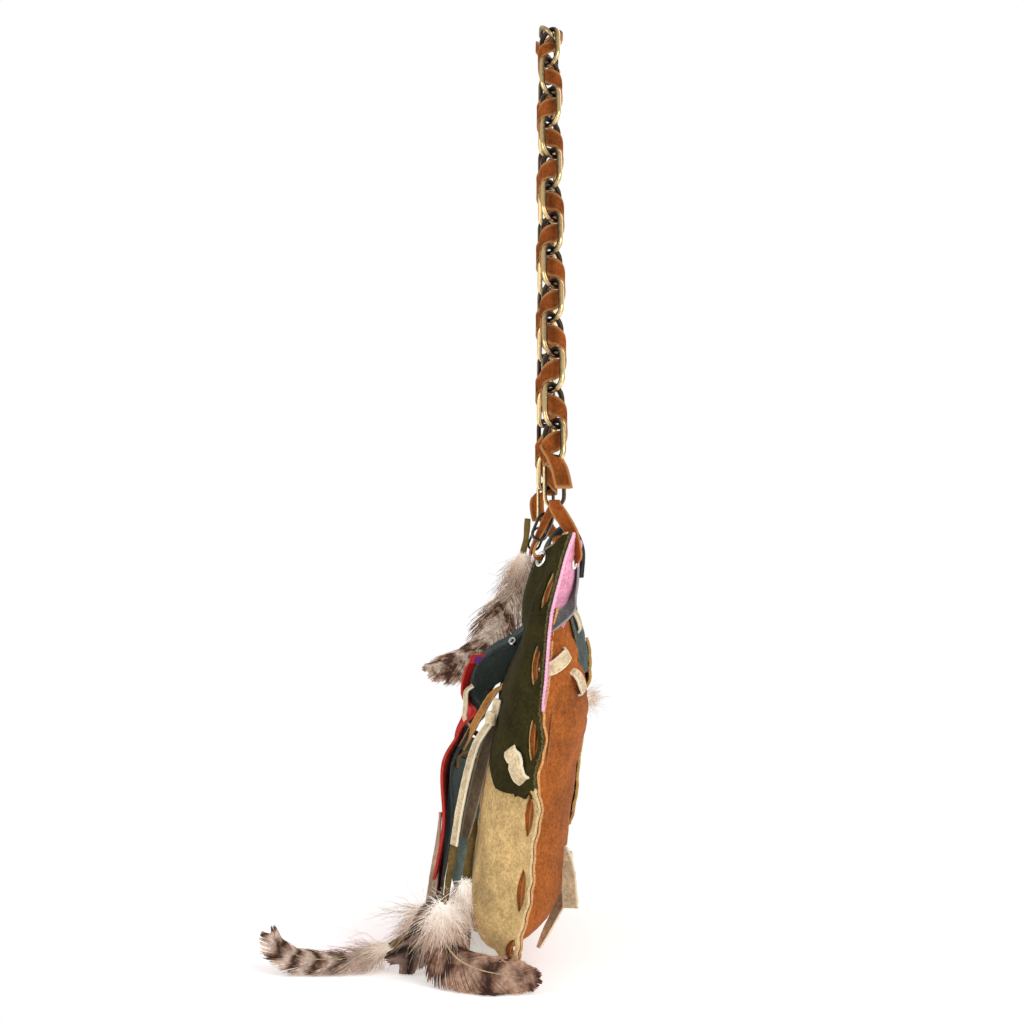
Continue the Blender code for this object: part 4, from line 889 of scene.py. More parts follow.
def weave_point(place):
    """Point of the lace, with its place counted in links from the top one."""
    side = 1 if place >= 0 else -1
    far = abs(place)
    joint = np.array([apex_reach, 0, APEX_Z])
    if far <= 0.5:
        base = np.array([2 * far * apex_reach, 0, APEX_Z])
    elif far <= 1:
        base = joint + run_heading * apex_reach * 2 * (far - 0.5)
    else:
        base = joint + run_heading * (apex_reach + LINK_PITCH * (far - 1))
    blend = np.clip((far - 0.3) / 0.4, 0, 1)
    outward = unit(np.array([0, 0, 1]) * (1 - blend) + run_outward * blend)
    mirror = np.array([side, 1, 1])
    spread = WEAVE_SIDEWAYS + APEX_EXTRA * math.exp(-((far - 0.5) / 0.3) ** 2)
    return (base * mirror + SIDEWAYS * spread * math.sin(math.pi * place)
            + outward * mirror * WEAVE_DEPTH * math.sin(2 * math.pi * place))


def wire_points():
    """Points along the wires of all links and of both end rings."""
    line, ring_line = (np.array([point for point, _ in oval_line(*size)]) for size in (
        (half_link, bar_offset), (ring_half, ring_arc, 20)))
    near = turned(ring_line, UP, SIDEWAYS, ring_centre)
    return np.vstack([turned(line, *place) for place in link_places()] + [near, near * MIRROR])


def drawn_tight(grid, wires, clear, rounds=26):
    """Band pulled straight a little at a time and kept off the wires."""
    tree = kdtree.KDTree(len(wires))
    for i, point in enumerate(wires):
        tree.insert(point, i)
    tree.balance()
    for turn in range(rounds):
        if turn < rounds - 2:
            grid[1:-1] = 0.8 * grid[1:-1] + 0.1 * (grid[:-2] + grid[2:])
            grid[:, 1:-1] = 0.9 * grid[:, 1:-1] + 0.05 * (grid[:, :-2] + grid[:, 2:])
        for row in grid:
            for point in row:
                near, _, distance = tree.find(point)
                if distance < clear:
                    point += (point - np.array(near)) * (clear / max(distance, 0.2) - 1)
    return grid


def band(name, grid, thick, look, on_bag=True):
    """Flat lace around a grid of points that runs along it, with its worn cut edges marked."""
    grid = np.asarray(grid, dtype=float)
    normal = grid_normal(grid)
    vertices, faces, _ = sheet_solid(grid - normal * thick / 2, thick, normal)
    made = mesh_object(name, vertices, faces, [look], sharp=55, on_bag=on_bag)
    rows, columns, _ = grid.shape
    worn = np.zeros((rows, columns))
    worn[:, 0] = worn[:, -1] = worn[0] = worn[-1] = 1
    rim = len(vertices) - 2 * rows * columns
    return paint(made, "edge", np.concatenate([worn.ravel(), worn.ravel(), np.ones(rim)]))


def strap_lace():
    """Lace woven through the chain, cut off square at both ends."""
    steps, columns, tab_steps = 16, 7, 16
    last_place = LINKS_PER_RUN + 0.5
    places = np.linspace(-last_place, last_place, int(2 * last_place * steps) + 1)
    weave = np.array([weave_point(place) for place in places])
    near_tab = ring_joint + np.array(NEAR_TAB)
    far_tab = ring_joint * MIRROR + np.array(FAR_TAB)
    weave = np.vstack([along(np.vstack([far_tab[::-1], weave[:1]]), tab_steps)[:-1], weave,
                       along(np.vstack([weave[-1:], near_tab]), tab_steps)[1:]])
    side = np.clip(weave[:, :1] / (1.5 * apex_reach), -1, 1)
    rise = unit(np.hstack([np.abs(side) * run_heading[0] + (1 - np.abs(side)), side * 0,
                           side * run_heading[2]]))
    half = np.full(len(weave), LACE_ALONG / 2)
    for end in (slice(0, tab_steps - 4), slice(4 - tab_steps, None)):
        rise[end] = SIDEWAYS
        half[end] = TAB_WIDTH / 2
    for _ in range(4):
        rise[1:-1] = unit(rise[:-2] + 2 * rise[1:-1] + rise[2:])
        half[1:-1] = (half[:-2] + 2 * half[1:-1] + half[2:]) / 4
    half *= 1 - APEX_PINCH * np.exp(-(weave[:, 0] / (2.2 * apex_reach)) ** 4)
    spread = np.linspace(-1, 1, columns)
    grid = weave[:, None] + rise[:, None] * half[:, None, None] * spread[None, :, None]
    grid = drawn_tight(grid, wire_points(), LINK_WIRE / 2 + LACE_THICK / 2 + 0.15)
    made = band("woven_lace", grid, LACE_THICK, BROWN, on_bag=False)
    dress(made, "strap", "brown_lace", "strap_lace")


# Seam: frames along the lacing line, slits and lacing

def patch_lift(x, z):
    """Height of a corner patch over the panel's inner face: nothing at the seam, full over the panel."""
    edge, _ = nearest_edge(x, z)
    return 0.1 + (SUEDE + 0.3) * eased((edge - 2.6) / 2.2)


def seam_frame(length):
    """Point on the lacing line at a length of the seam, with its heading and outward normal."""
    here, ahead = inset_outline(LACING_INSET, [length - 1, length + 1])
    x, z = (here + ahead) / 2
    rise = float(flange_y(*ahead) - flange_y(*here))
    heading = unit(np.array([ahead[0] - here[0], rise, ahead[1] - here[1]]))
    facing = surface_normal(flange_y, -1, x, z)
    facing = unit(facing - heading * np.dot(facing, heading))
    sway = float(flange_wave(*nearest_edge(x, z), z))
    return np.array([x, float(flange_y(x, z)) + sway, z]), heading, facing


def slits(lowest=0):
    """Leaf shaped outlines of every slit above a height."""
    half = ((-0.5, 0), (-0.42, 0.2), (-0.25, 0.42), (0, 0.5), (0.25, 0.42), (0.42, 0.2))
    leaf = half + tuple((-run, -spread) for run, spread in half)
    for point, heading, facing in map(seam_frame, STITCH_PLACES):
        across = np.cross(facing, heading)
        if point[2] >= lowest:
            yield [point + heading * run * SLIT_LENGTH + across * spread * SLIT_WIDTH
                   for run, spread in leaf], facing


def seam_lacing():
    """Lace that runs round the seam through the slits of both panels."""
    seam_face = SEAM_GAP / 2 + SUEDE + GAP + SEAM_LACE_THICK / 2 + LACE_CLEARANCE
    stitch_shape = ((-STITCH_PITCH / 2, -seam_face - 0.7, 0), (-14, -seam_face - 0.4, 0),
                    (-10.5, -1, -1.4), (-5, 0.3, -2), (0, 0.8, -2.2), (5, 0.3, -2),
                    (10.5, -1, -1.4), (14, -seam_face - 0.4, 0))
    path, across = [], []
    for place in STITCH_PLACES:
        for run, height, aside in stitch_shape[1 if place == FIRST_STITCH else 0:]:
            point, heading, facing = seam_frame(place + run)
            side = np.cross(facing, heading)
            path.append(point + facing * height + side * aside)
            across.append(side - facing * 0.2 * math.cos(run / 8))
    route = along(np.hstack([path, across]), len(path) * 5)
    made = lace("seam_lace", route[:, :3], route[:, 3:], SEAM_LACE_WIDTH, SEAM_LACE_THICK, BROWN)
    dress(made, "bag", "brown_lace", "seam_lacing")


# Centre and outward direction of each near eyelet
EYELETS = {face: on_panel(side, MOUTH_HALF_WIDTH - EYELET_INSET, BAG_HEIGHT - EYELET_DROP)
           for face, side in (("front", -1), ("back", 1))}


def hole_outlines(side):
    """Round outlines of the eyelet holes at both ends of one panel."""
    centre, normal = EYELETS["front" if side < 0 else "back"]
    for _, mirror in ENDS:
        yield centre * mirror + spokes(normal * mirror, 24) * (EYELET_HOLE / 2 + 0.6), normal * mirror


# Panels

def mouth_edge(knots, count):
    """Mouth edge points from the near end to the far end, evenly spaced."""
    half = np.array(knots) * (BASE_HALF_WIDTH, BAG_HEIGHT)
    return along(np.vstack([half, half[-2::-1] * (-1, 1)]), count)


def pierce(made, side, looks, lowest=0):
    """Slits above a height and both eyelet holes, cut through a piece of one side."""
    cut(made, slits(lowest), *SLIT_REACH, looks[0])
    cut(made, hole_outlines(side), *HOLE_REACH, looks[1])


def panel(face, mouth, side, looks, slot, covered_from):
    """Front or back panel, fanned from the seam to its mouth edge, with slits and eyelet holes."""
    columns, fan_rows = 300, 34
    at = np.linspace(0, OUTLINE_LENGTH, columns)
    tuck = EDGE_TUCK * np.clip((inset_outline(0, at)[:, 1] - covered_from) / 6, 0, 1)
    rows = [inset_outline(distance + tuck * (1 - distance / FLANGE), at)
            for distance in np.linspace(0, FLANGE, 8)]
    inner, top = rows[-1], mouth_edge(mouth, columns)
    rows += [inner + (top - inner) * (i / fan_rows) ** 1.25 for i in range(1, fan_rows + 1)]
    x, z = np.moveaxis(np.array(rows), -1, 0)
    made = suede_sheet(f"{face}_leather", on_surface(side, x, z), SIDEWAYS * side, looks, 5 + side)
    pierce(made, side, looks)
    dress(made, "bag", slot, f"{face}_panel")


def between(outer, inner, rows, columns):
    """Flat grid between two edges given as (place along the bag, height) points."""
    outer, inner = along(outer, rows), along(inner, rows)
    return outer[:, None] + (inner - outer)[:, None] * np.linspace(0, 1, columns)[None, :, None]


def overlay(name, flat, side, lift, looks, slot, seed, *nodes, mirror=1):
    """Sheet over a panel from a flat grid, at a distance from the panel's inner face."""
    x, z = np.moveaxis(flat, -1, 0)
    grid = lifted(on_surface(side, x * mirror, z), side, lift)
    return dress(suede_sheet(name, grid, SIDEWAYS * side, looks, seed), "bag", slot, *nodes)


def seam_edge(low_z, inset=0.4):
    """Points just inside the outline down the near side, from the mouth to a height."""
    at = np.linspace(0, OUTLINE_LENGTH / 2, 400)
    edge = inset_outline(inset, at)
    chosen = edge[(edge[:, 1] <= BAG_HEIGHT - 0.5) & (edge[:, 1] >= low_z)]
    return chosen[np.linspace(0, len(chosen) - 1, 60).astype(int)]


# Inner edges of the corner patches and the rust lobes' outlines, as (place along the bag, height)
OLIVE_INNER = ((92, 222), (87, 205), (80, 182), (74, 168), (70, 157), (76, 149),
               (94, 137), (116, 120), (130, 106))
PINK_INNER = ((96, 242), (97, 225), (100, 214), (112, 206), (120, 197), (128, 186),
              (134, 170), (137, 152))
LOBE_OUTER = ((138.5, 207), (140, 194), (142, 178), (144, 160), (145.5, 140), (146.5, 118))
LOBE_INNER = ((137, 206.5), (131, 198), (123, 190), (119, 181), (121, 172), (126, 160),
              (129, 142), (130, 118))
SECOND_LOBE_OUTER = ((124, 177), (128, 166), (131, 150), (132, 130), (132, 108))
SECOND_LOBE_INNER = ((121, 177.5), (112, 170), (105, 160), (101, 145), (100, 127),
                     (101, 108))

OLIVE_LOW, OLIVE_SLITS_FROM, OLIVE_COVERS_FROM = 101, 90, 108
PINK_LOW, PINK_SLITS_FROM, PINK_COVERS_FROM = 149, 140, 156
LOBE_FOOT, LOBE_RISE = -0.3, 0.62

# Lower and upper edges of the patches across the back, as (place along the bag, height)
SLATE_LOW = ((-113, 168), (-60, 171), (0, 165), (60, 171), (113, 168))
SLATE_HIGH = ((-113, 203), (-90, 211), (0, 214), (90, 211), (113, 203))
GOLD_LOW = ((-91, 92), (-45, 76), (0, 86), (48, 77), (91, 90))
GOLD_HIGH = ((-91, 186), (-50, 176), (0, 170), (50, 176), (91, 187))
GOLD_CLIMBS_FROM = 158


def corner_patches():
    """Olive patches on the front, pink ones and rust lobes on the back, at both ends."""
    for end, (mirror, _, _) in ENDS:
        for kind, outer, inner, rows, columns, side, looks, lowest, seed in (
                ("olive", seam_edge(OLIVE_LOW), OLIVE_INNER, 110, 60, -1, OLIVE, OLIVE_SLITS_FROM, 11),
                ("pink", seam_edge(PINK_LOW, -0.9), PINK_INNER, 100, 40, 1, PINK, PINK_SLITS_FROM, 13)):
            flat = between(outer, inner, rows, columns)
            made = overlay(f"{kind}_corner_{end}", flat, side, patch_lift(flat[..., 0], flat[..., 1]), looks,
                           f"{kind}_suede", seed, f"{kind}_patch_{end}", mirror=mirror)
            pierce(made, side, looks, lowest)
        for name, outer, inner, height in (
                ("rust_lobe", LOBE_OUTER, LOBE_INNER, 2 * OVER_PANEL + 0.6),
                ("rust_second_lobe", SECOND_LOBE_OUTER, SECOND_LOBE_INNER, 2 * OVER_PANEL - 0.9)):
            flat = between(outer, inner, 60, 22)
            top, low = flat[..., 1].max(), flat[..., 1].min()
            lift = LOBE_FOOT + (height - LOBE_FOOT) * eased((flat[..., 1] - low) / (LOBE_RISE * (top - low)))
            overlay(f"{name}_{end}", flat, 1, lift, RUST, "rust_suede", 17, mirror=mirror)


def wavy_band(low, high, columns, rows, seed):
    """Flat grid across the back between two uneven edges, given as heights over the width."""
    x = np.linspace(low[0][0], low[-1][0], columns)
    points = np.stack([x, x * 0, x * 0], axis=1)
    low_z = smooth(low)(x) + 1.6 * ripple(points, 16, seed)
    high_z = smooth(high)(x) + 1.2 * ripple(points, 19, seed + 1)
    share = np.linspace(0, 1, rows)[:, None]
    return np.stack([np.broadcast_to(x, (rows, columns)), low_z + (high_z - low_z) * share], axis=-1)


def back_patches():
    """Slate and golden patches across the back, the golden one over the slate where they meet."""
    slate = wavy_band(SLATE_LOW, SLATE_HIGH, 120, 30, 3)
    overlay("slate_back", slate, 1, OVER_PANEL, SLATE, "slate_suede", 21, "back_slate_patch")
    gold = wavy_band(GOLD_LOW, GOLD_HIGH, 100, 60, 7)
    lift = OVER_PANEL + (SUEDE + 0.4) * eased((gold[..., 1] - GOLD_CLIMBS_FROM) / 7)
    overlay("gold_back", gold, 1, lift, GOLD, "gold_suede", 23, "back_gold_patch")


def front_pocket():
    """Pocket sewn to the front panel at its sides and base, open at the top."""
    x = POCKET_HALF_WIDTH * np.sin(np.linspace(-1, 1, 90) * math.pi / 2)
    low = POCKET_BASE * BAG_HEIGHT + POCKET_CORNER_RISE * (x / POCKET_HALF_WIDTH) ** 6
    rim = POCKET_TOP * BAG_HEIGHT + 1.5 * np.sin(x / 17)
    share = np.linspace(0, 1, 60)[:, None]
    flat_x = np.broadcast_to(x, (60, 90))
    z = low + (rim - low) * share
    height = np.clip((z / BAG_HEIGHT - POCKET_BASE) / (POCKET_TOP - POCKET_BASE), 0, 1)
    rise = (1 - (1 - height) ** 2) * (1 - POCKET_LIP * height ** 3)
    cross = np.clip(1 - np.abs(flat_x / POCKET_HALF_WIDTH) ** 4, 0, 1) ** 0.6
    grid = lifted(on_surface(-1, flat_x, z), -1, OVER_PANEL)
    folds = (2.2 * ripple(grid * (0.6, 0, 1.6), 15, 31)
             + 1.1 * np.abs(ripple(grid * (0.5, 0, 2), 8, 37)))
    grid[..., 1] -= POCKET_FULLNESS * rise * cross + folds * cross * np.clip(height * 3, 0, 1)
    # The pocket's suede is slate lightened with painted light
    dress(suede_sheet("pocket", grid, -SIDEWAYS, LIT_POCKET_SLATE, 29), "bag", "slate_suede", "front_pocket")


flap_width = smooth(FLAP_HALF_WIDTH)


def hump(value, rise, top, fall, end):
    """Smooth step up between the first two values and down again between the last two."""
    return eased((value - rise) / (top - rise)) * eased((end - value) / (end - fall))


def flap_grid(start, end, rows, narrower, columns):
    """Grid on the flap's inner face between two shares of its length; its side edges flare and ruffle."""
    shares = np.linspace(start, end, rows)
    middle = along(np.array(FLAP_LINE) * (1, BAG_HEIGHT), at=shares)
    cross = np.sin(np.linspace(-1, 1, columns) * math.pi / 2)
    half = flap_width(shares)[:, None] - narrower
    x = half * cross
    edge = np.abs(x) / FLAP_WIDEST
    fall = FLAP_EDGE_FALL * np.clip((shares[:, None] - 0.5) / 0.2, 0, 1) * edge ** 2
    y = np.broadcast_to(middle[:, :1], x.shape) + fall * 0.6
    z = np.broadcast_to(middle[:, 1:], x.shape) + fall * 0.8
    across_share = np.abs(x) / flap_width(shares)[:, None]
    y = y + FLAP_CLOSER * hump(shares, *FLAP_CLOSER_AT)[:, None]
    y = y + FLAP_MIDDLE_IN * hump(shares, *FLAP_MIDDLE_IN_AT)[:, None] * (1 - across_share ** 2.5)
    y = y + FLAP_RUFFLE * hump(z, *FLAP_RUFFLE_AT) * across_share ** 4
    loose = np.clip((shares - 0.5) / 0.15, 0, 1)[:, None]
    y = y + loose * across_share ** 3 * 1.6 * np.sin(z / 11 + np.sign(x) * 0.7)
    grid = np.stack([x, y, z], axis=-1)
    grid[..., 1] += loose * 0.9 * ripple(grid * (1, 0, 1), 26, 41)
    return grid


def flap():
    """Flap with its red outer layer and purple strip."""
    # The flap's leather is slate darkened with painted shade
    for name, start, end, rows, narrower, lift, looks, slot, node in (
            ("flap_leather", 0, 1, 130, 0, 0, SHADED_SLATE, "dark_suede", "flap"),
            ("flap_red", RED_START, RED_END, 70, RED_INSET, OVER_PANEL, RED, "red_suede", "flap_red_layer"),
            ("flap_purple", PURPLE_START, PURPLE_END, 16, PURPLE_INSET, 2 * OVER_PANEL, PURPLE,
             "purple_suede", "flap_purple_strip")):
        grid = flap_grid(start, end, rows, narrower, 80)
        if looks is RED:
            grid[..., 1] -= RED_CURL * (np.abs(grid[..., 0]) / np.abs(grid[:, :1, 0])) ** 8
        outward = -grid_normal(grid)
        grid = grid + outward * lift
        made = dress(suede_sheet(name, grid, outward, looks, 43 + rows), "bag", slot, node)


# Eyelets and corner laces

def grommet(name, profile, centre, axis, sides, *nodes):
    """Nickel eyelet at both ends of the bag, turned round its axis from (radius, height) points."""
    points = np.array([centre + out * radius + axis * height for out in spokes(axis, sides)
                       for radius, height in profile])
    for end, mirror in ENDS:
        faces = tube_faces(sides, len(profile), closed=True)
        made = mesh_object(f"{name}_{end}", points * mirror, faces, [SILVER])
        paint(made, "wear_and_painted_light", np.full(len(points), 0.9))
        dress(made, "bag", "nickel", *(f"{node}_{end}" for node in nodes))


def eyelets():
    """Rolled eyelets at the mouth's corners."""
    seat = 2 * SUEDE + 0.5
    hole, outer = EYELET_HOLE / 2, EYELET_OUTER / 2
    profile = [(hole, -0.8), (hole + 0.7, -0.8), (hole + 0.7, seat), (outer, seat), (outer, seat + 0.25),
               (outer - 0.5, seat + 0.75), (outer - 1.15, seat + EYELET_LIP), (hole + 0.3, seat + 0.6),
               (hole, seat + 0.1)]
    for face, (centre, normal) in EYELETS.items():
        grommet(f"{face}_grommet", profile, centre, normal, 36, f"{face}_eyelet")


def flap_eyelets():
    """Small eyelets at the flap's bend."""
    profile = ((1, -1), (1.6, -1), (1.6, 2.2), (2.5, 2.2), (2.1, 2.8), (1.4, 2.8), (1, 2.3))
    grommet("flap_grommet", profile, np.array(FLAP_EYELET), unit(FLAP_EYELET_FACING), 28)


def corner_route():
    """Closed route of the near corner lace through its ring and both eyelets.

    Gives the places, the direction of the lace's width and the width at each of them.
    """
    patched = 2 * SUEDE + PATCH_LIFT
    wire_z = AXIS_HEIGHT - ring_arc
    leg = RING_WIRE / 2 + 2 * GAP + CORNER_LACE_THICK / 2 + 0.2
    front_hole, front_out = EYELETS["front"]
    back_hole, back_out = EYELETS["back"]
    route = (
        ((RING_X, 0, wire_z + leg), SIDEWAYS, 6),
        ((RING_X + leg, 0.5, wire_z - 0.5), SIDEWAYS, 7.5),
        ((RING_X + leg, 4, AXIS_HEIGHT - 11), SIDEWAYS, 8),
        ((RING_X - 1, 9.5, AXIS_HEIGHT - 20), (0.3, 1, 0), 7.5),
        (back_hole + back_out * (patched + 1.6) + (3, 0, 4), (0.8, 0.6, 0), 5.5),
        (back_hole + back_out * (patched / 2), (0, 0, 1), 3.4),
        (back_hole - back_out * 4, (0, 0, 1), 3.4),
        (front_hole - front_out * 4, (0, 0, 1), 3.4),
        (front_hole + front_out * (patched / 2), (0, 0, 1), 3.4),
        (front_hole + front_out * (patched + 4.5) + (1, 0, 2), (1, 0, 0), 3.8),
        ((RING_X - 4.6, -6.6, AXIS_HEIGHT - 17), (0.3, 1, 0), 4.2),
        ((RING_X - leg, -0.8, wire_z), SIDEWAYS, 5))
    return tuple(np.array(part, dtype=float) for part in zip(*route))


def corner_laces():
    """Lace loops that tie the end rings to the bag, and the dark links on them."""
    places, across, widths = corner_route()
    route = along(np.hstack([places, across, widths[:, None]]), 120, closed=True)
    before_link, at_link, after_link = places[9:]
    heading = unit(unit(after_link - before_link) * CORNER_LINK_LENGTH / 2 - (CORNER_LINK_LEAN, 0, 0))
    shape, faces, painted_light_level = oval((CORNER_LINK_LENGTH - CORNER_LINK_WIRE) / 2,
                                (CORNER_LINK_WIDTH - CORNER_LINK_WIRE) / 2, CORNER_LINK_WIRE)
    points = turned(shape, heading, SIDEWAYS - heading * heading[1], at_link + (0, 0, 0.5))
    for end, mirror in ENDS:
        made = lace(f"corner_tie_{end}", route[:, :3] * mirror, route[:, 3:6] * mirror, route[:, 6],
                    CORNER_LACE_THICK * 0.8, BROWN, closed=True)
        dress(made, "bag", "brown_lace", f"corner_lace_{end}")
        link = mesh_object(f"corner_oval_{end}", points * mirror, faces, [GUNMETAL])
        # The dark link takes the oval's painted highlight and shade
        paint(link, "wear_and_painted_light", painted_light_level)
        dress(link, "bag", "aged_brass", f"corner_link_{end}")


# Laces on the front, the flap and the back

def hung(route):
    """Points from (place in from the base's end, depth, share of the bag's height)."""
    return np.array([(BASE_HALF_WIDTH - inset, depth, share * BAG_HEIGHT) for inset, depth, share in route])


def on_flap(place, share, lift):
    """Point in front of the flap's outer layer, at a share of its greatest half width."""
    fall = FLAP_EDGE_FALL * place ** 2
    depth, height = np.array(FLAP_LINE[-8:])[::-1].T
    middle = np.interp(share * BAG_HEIGHT - 0.8 * fall, height * BAG_HEIGHT, depth)
    return np.array([place * FLAP_WIDEST, middle + 0.6 * fall - 2 * SUEDE - PATCH_LIFT - lift,
                     share * BAG_HEIGHT])


def tie_route():
    """Route of the tie on the front: its top, its knot and its hanging end."""
    over_patch = 2 * SUEDE + PATCH_LIFT + GAP + LACE_THICK / 2 + LACE_CLEARANCE
    knot_x = BASE_HALF_WIDTH - KNOT_INSET
    knot, knot_out = on_panel(-1, knot_x, KNOT_Z * BAG_HEIGHT, over_patch + TIE_LOOSE)
    top, _ = on_panel(-1, knot_x, KNOT_Z * BAG_HEIGHT + TIE_RISE, over_patch + TIE_LOOSE)
    return np.vstack([top, knot, knot + np.array(TIE_FALL)]), knot_out


def front_tie():
    """Cream tie with its knot."""
    route, knot_out = tie_route()
    course = along(route, 60)
    made = lace("front_tie", course, (1, 0.6, 0), TIE_WIDTH, LACE_THICK, CREAM, cup=0.5)
    dress(made, "bag", "cream_lace", "tie_lace")
    axis = unit(np.cross(knot_out, (1, 0.6, 0)))
    side = np.cross(axis, knot_out)
    turns = np.linspace(0, 2 * math.pi, 36, endpoint=False)[:, None]
    wrap = (route[1] + side * 4.9 * np.cos(turns) + knot_out * (2.2 * np.sin(turns) + 1.2)
            + axis * 0.8 * np.sin(2 * turns))
    knot = lace("front_knot", wrap, np.tile(axis + 0.3 * side, (36, 1)), 6.4, LACE_THICK, CREAM, closed=True,
                cup=0.4, seed=4)
    dress(knot, "bag", "cream_lace")
    free_lace("tie_tail", route[1:] + np.array(TAIL_BESIDE), (0.3, 1, 0), (5, 7, 7.5, 7, 5),
              TAUPE, seed=9)


def stitch(name, side, start, end, width, lift, mirror):
    """Short lace stitch over a panel between two (place along, height) points, its ends pushed through."""
    shares = np.linspace(0, 1, 16)
    flat = np.array(start) + (np.array(end) - np.array(start)) * shares[:, None]
    points = []
    for share, (x, z) in zip(shares, flat):
        sunk = max(0, abs(share - 0.5) * 2 - 0.82) / 0.18
        points.append(on_panel(side, x, z, lift + 2 * math.sin(math.pi * share) ** 0.6 - 4 * sunk)[0])
    points = np.array(points) * mirror
    across = np.cross(points[-1] - points[0], on_panel(side, *flat[8])[1] * mirror)
    widths = width * (1 - (shares - 0.5) ** 2)
    dress(lace(name, points, across, widths, LACE_THICK, CREAM, cup=0.3, seed=len(name)), "bag", "cream_lace")


def free_lace(name, points, across, width, look, slot="cream_lace", seed=1, cup=0.3, on=None):
    """Lace along a smooth line through points, its width and direction changing from end to end."""
    across = np.broadcast_to(np.asarray(across, dtype=float), (len(points), 3))
    width = np.broadcast_to(np.asarray(width, dtype=float), len(points))
    route = along(np.hstack([np.array(points), across, width[:, None]]), 44)
    made = lace(name, route[:, :3], route[:, 3:6], route[:, 6], LACE_THICK, look, cup=cup, seed=seed)
    return dress(made, "bag", slot, *([on] if on else []))


def loose_laces():
    """Laces on the flap and on the back."""
    points = [on_flap(place, share, OVER_FLAP + loose) for place, share, loose in HANGING_ROUTE]
    free_lace("flap_lace", points, HANGING_ACROSS, HANGING_LACE_WIDTH, DUST, on="flap_hanging_lace", cup=0.5)
    points = [on_panel(1, BASE_HALF_WIDTH - inset, share * BAG_HEIGHT, lift)[0]
              for inset, share, lift in GREY_ROUTE]
    free_lace("grey_back_lace", points, GREY_ACROSS, GREY_WIDTHS, GREY, "grey_lace", on="back_grey_lace")
    free_lace("base_back_lace", BASE_LACE, (0.5, 0.9, 0.6), (6, 8, 8.5, 8, 6.5, 3), CREAM,
              on="back_base_lace")
    points = [on_panel(1, x, z, lift)[0] for x, z, lift in SQUARE_END_LACE]
    free_lace("square_end_lace", points, (0.5, 1, 0.3), 9.5, CREAM, seed=12)
    for end, mirror in ENDS:
        for name, side, start, stop, width, lift in (
                ("lobe", 1, (134, 169.5), (126, 181), 8, 4 * SUEDE + 2.8),
                ("second_lobe", 1, (124, 171), (115, 157), 6, 4 * SUEDE + 1.6),
                ("slate", 1, (113, 204), (108, 190), 5.5, 2 * SUEDE + 1.4),
                ("front", -1, (134.5, 129), (144, 111), 10, 2 * SUEDE + 1.2)):
            stitch(f"{name}_stitch_{end}", side, start, stop, width, lift, mirror)
        over = [on_flap(0.84, share, lift) for share, lift in FLAP_STITCH]
        for name, points, across, width, look, slot, seed in (
                ("under_flap_lace", UNDER_FLAP_LACE, (0.5, 0.9, 0.5), 5, TAN, "brown_lace", 1),
                ("flap_stitch", over, (0.9, 0.3, 0), 5.5, CREAM, "cream_lace", 5),
                ("pocket_stitch", POCKET_RIM_LACE, (1, 0.3, 0.3), 5.5, TAN, "brown_lace", 6)):
            points, across = np.array(points) * mirror, np.array(across) * mirror
            free_lace(f"{name}_{end}", points, across, width, look, slot, seed=seed)


# Feathers

# Width of each vane from its quill to its tip, as (share of its length, reach of a barb)
UPPER_WIDTHS = ((0, 9), (0.12, 19), (0.35, 22), (0.6, 21), (0.8, 13), (0.93, 7), (1, 1.5))
FRONT_WIDTHS = ((0, 9), (0.15, 15), (0.4, 16), (0.68, 11), (0.88, 6), (1, 1))
DARK_WIDTHS = ((0, 5), (0.3, 11), (0.7, 11), (1, 4))
SIDE_WIDTHS = ((0, 4), (0.3, 9), (0.7, 9), (1, 3))
FLOOR_WIDTHS = ((0, 8), (0.2, 14), (0.6, 13), (0.85, 9), (1, 3))
BAG_FLOOR = cad_box[0][2] / MM - BAG_BASE_Z


def strands(curves, radius, flat, run):
    """Thin tapered strands: vertices, faces and each vertex's place on the feather and along its strand."""
    number, steps, _ = curves.shape
    heading = unit(np.gradient(curves, axis=1))
    side = unit(np.cross(heading, flat[:, None]))
    normal = np.cross(side, heading)
    corners = [curves + side * radius[..., None] * a + normal * radius[..., None] * b
               for a, b in ((-1, -0.25), (1, -0.25), (0, 0.35))]
    vertices = np.stack(corners, axis=2)
    base = (np.arange(number) * steps * 3)[:, None, None]
    step = (np.arange(steps - 1) * 3)[None, :, None]
    sides = np.arange(3)[None, None]
    onward = (sides + 1) % 3
    faces = np.stack([base + step + sides, base + step + onward, base + step + 3 + onward,
                      base + step + 3 + sides], axis=-1).reshape(-1, 4)
    out = np.broadcast_to(np.linspace(0, 1, steps)[None, :, None], vertices.shape[:3])
    place = np.broadcast_to(run[:, None, None], vertices.shape[:3])
    return vertices.reshape(-1, 3), faces, place.ravel(), out.ravel()


def above_floor(points, layers):
    """Points kept above the floor, each strand in its own thin layer."""
    floor = BAG_FLOOR + 0.12 + 0.9 * layers
    points[..., 2] = np.maximum(points[..., 2], floor)
    return points


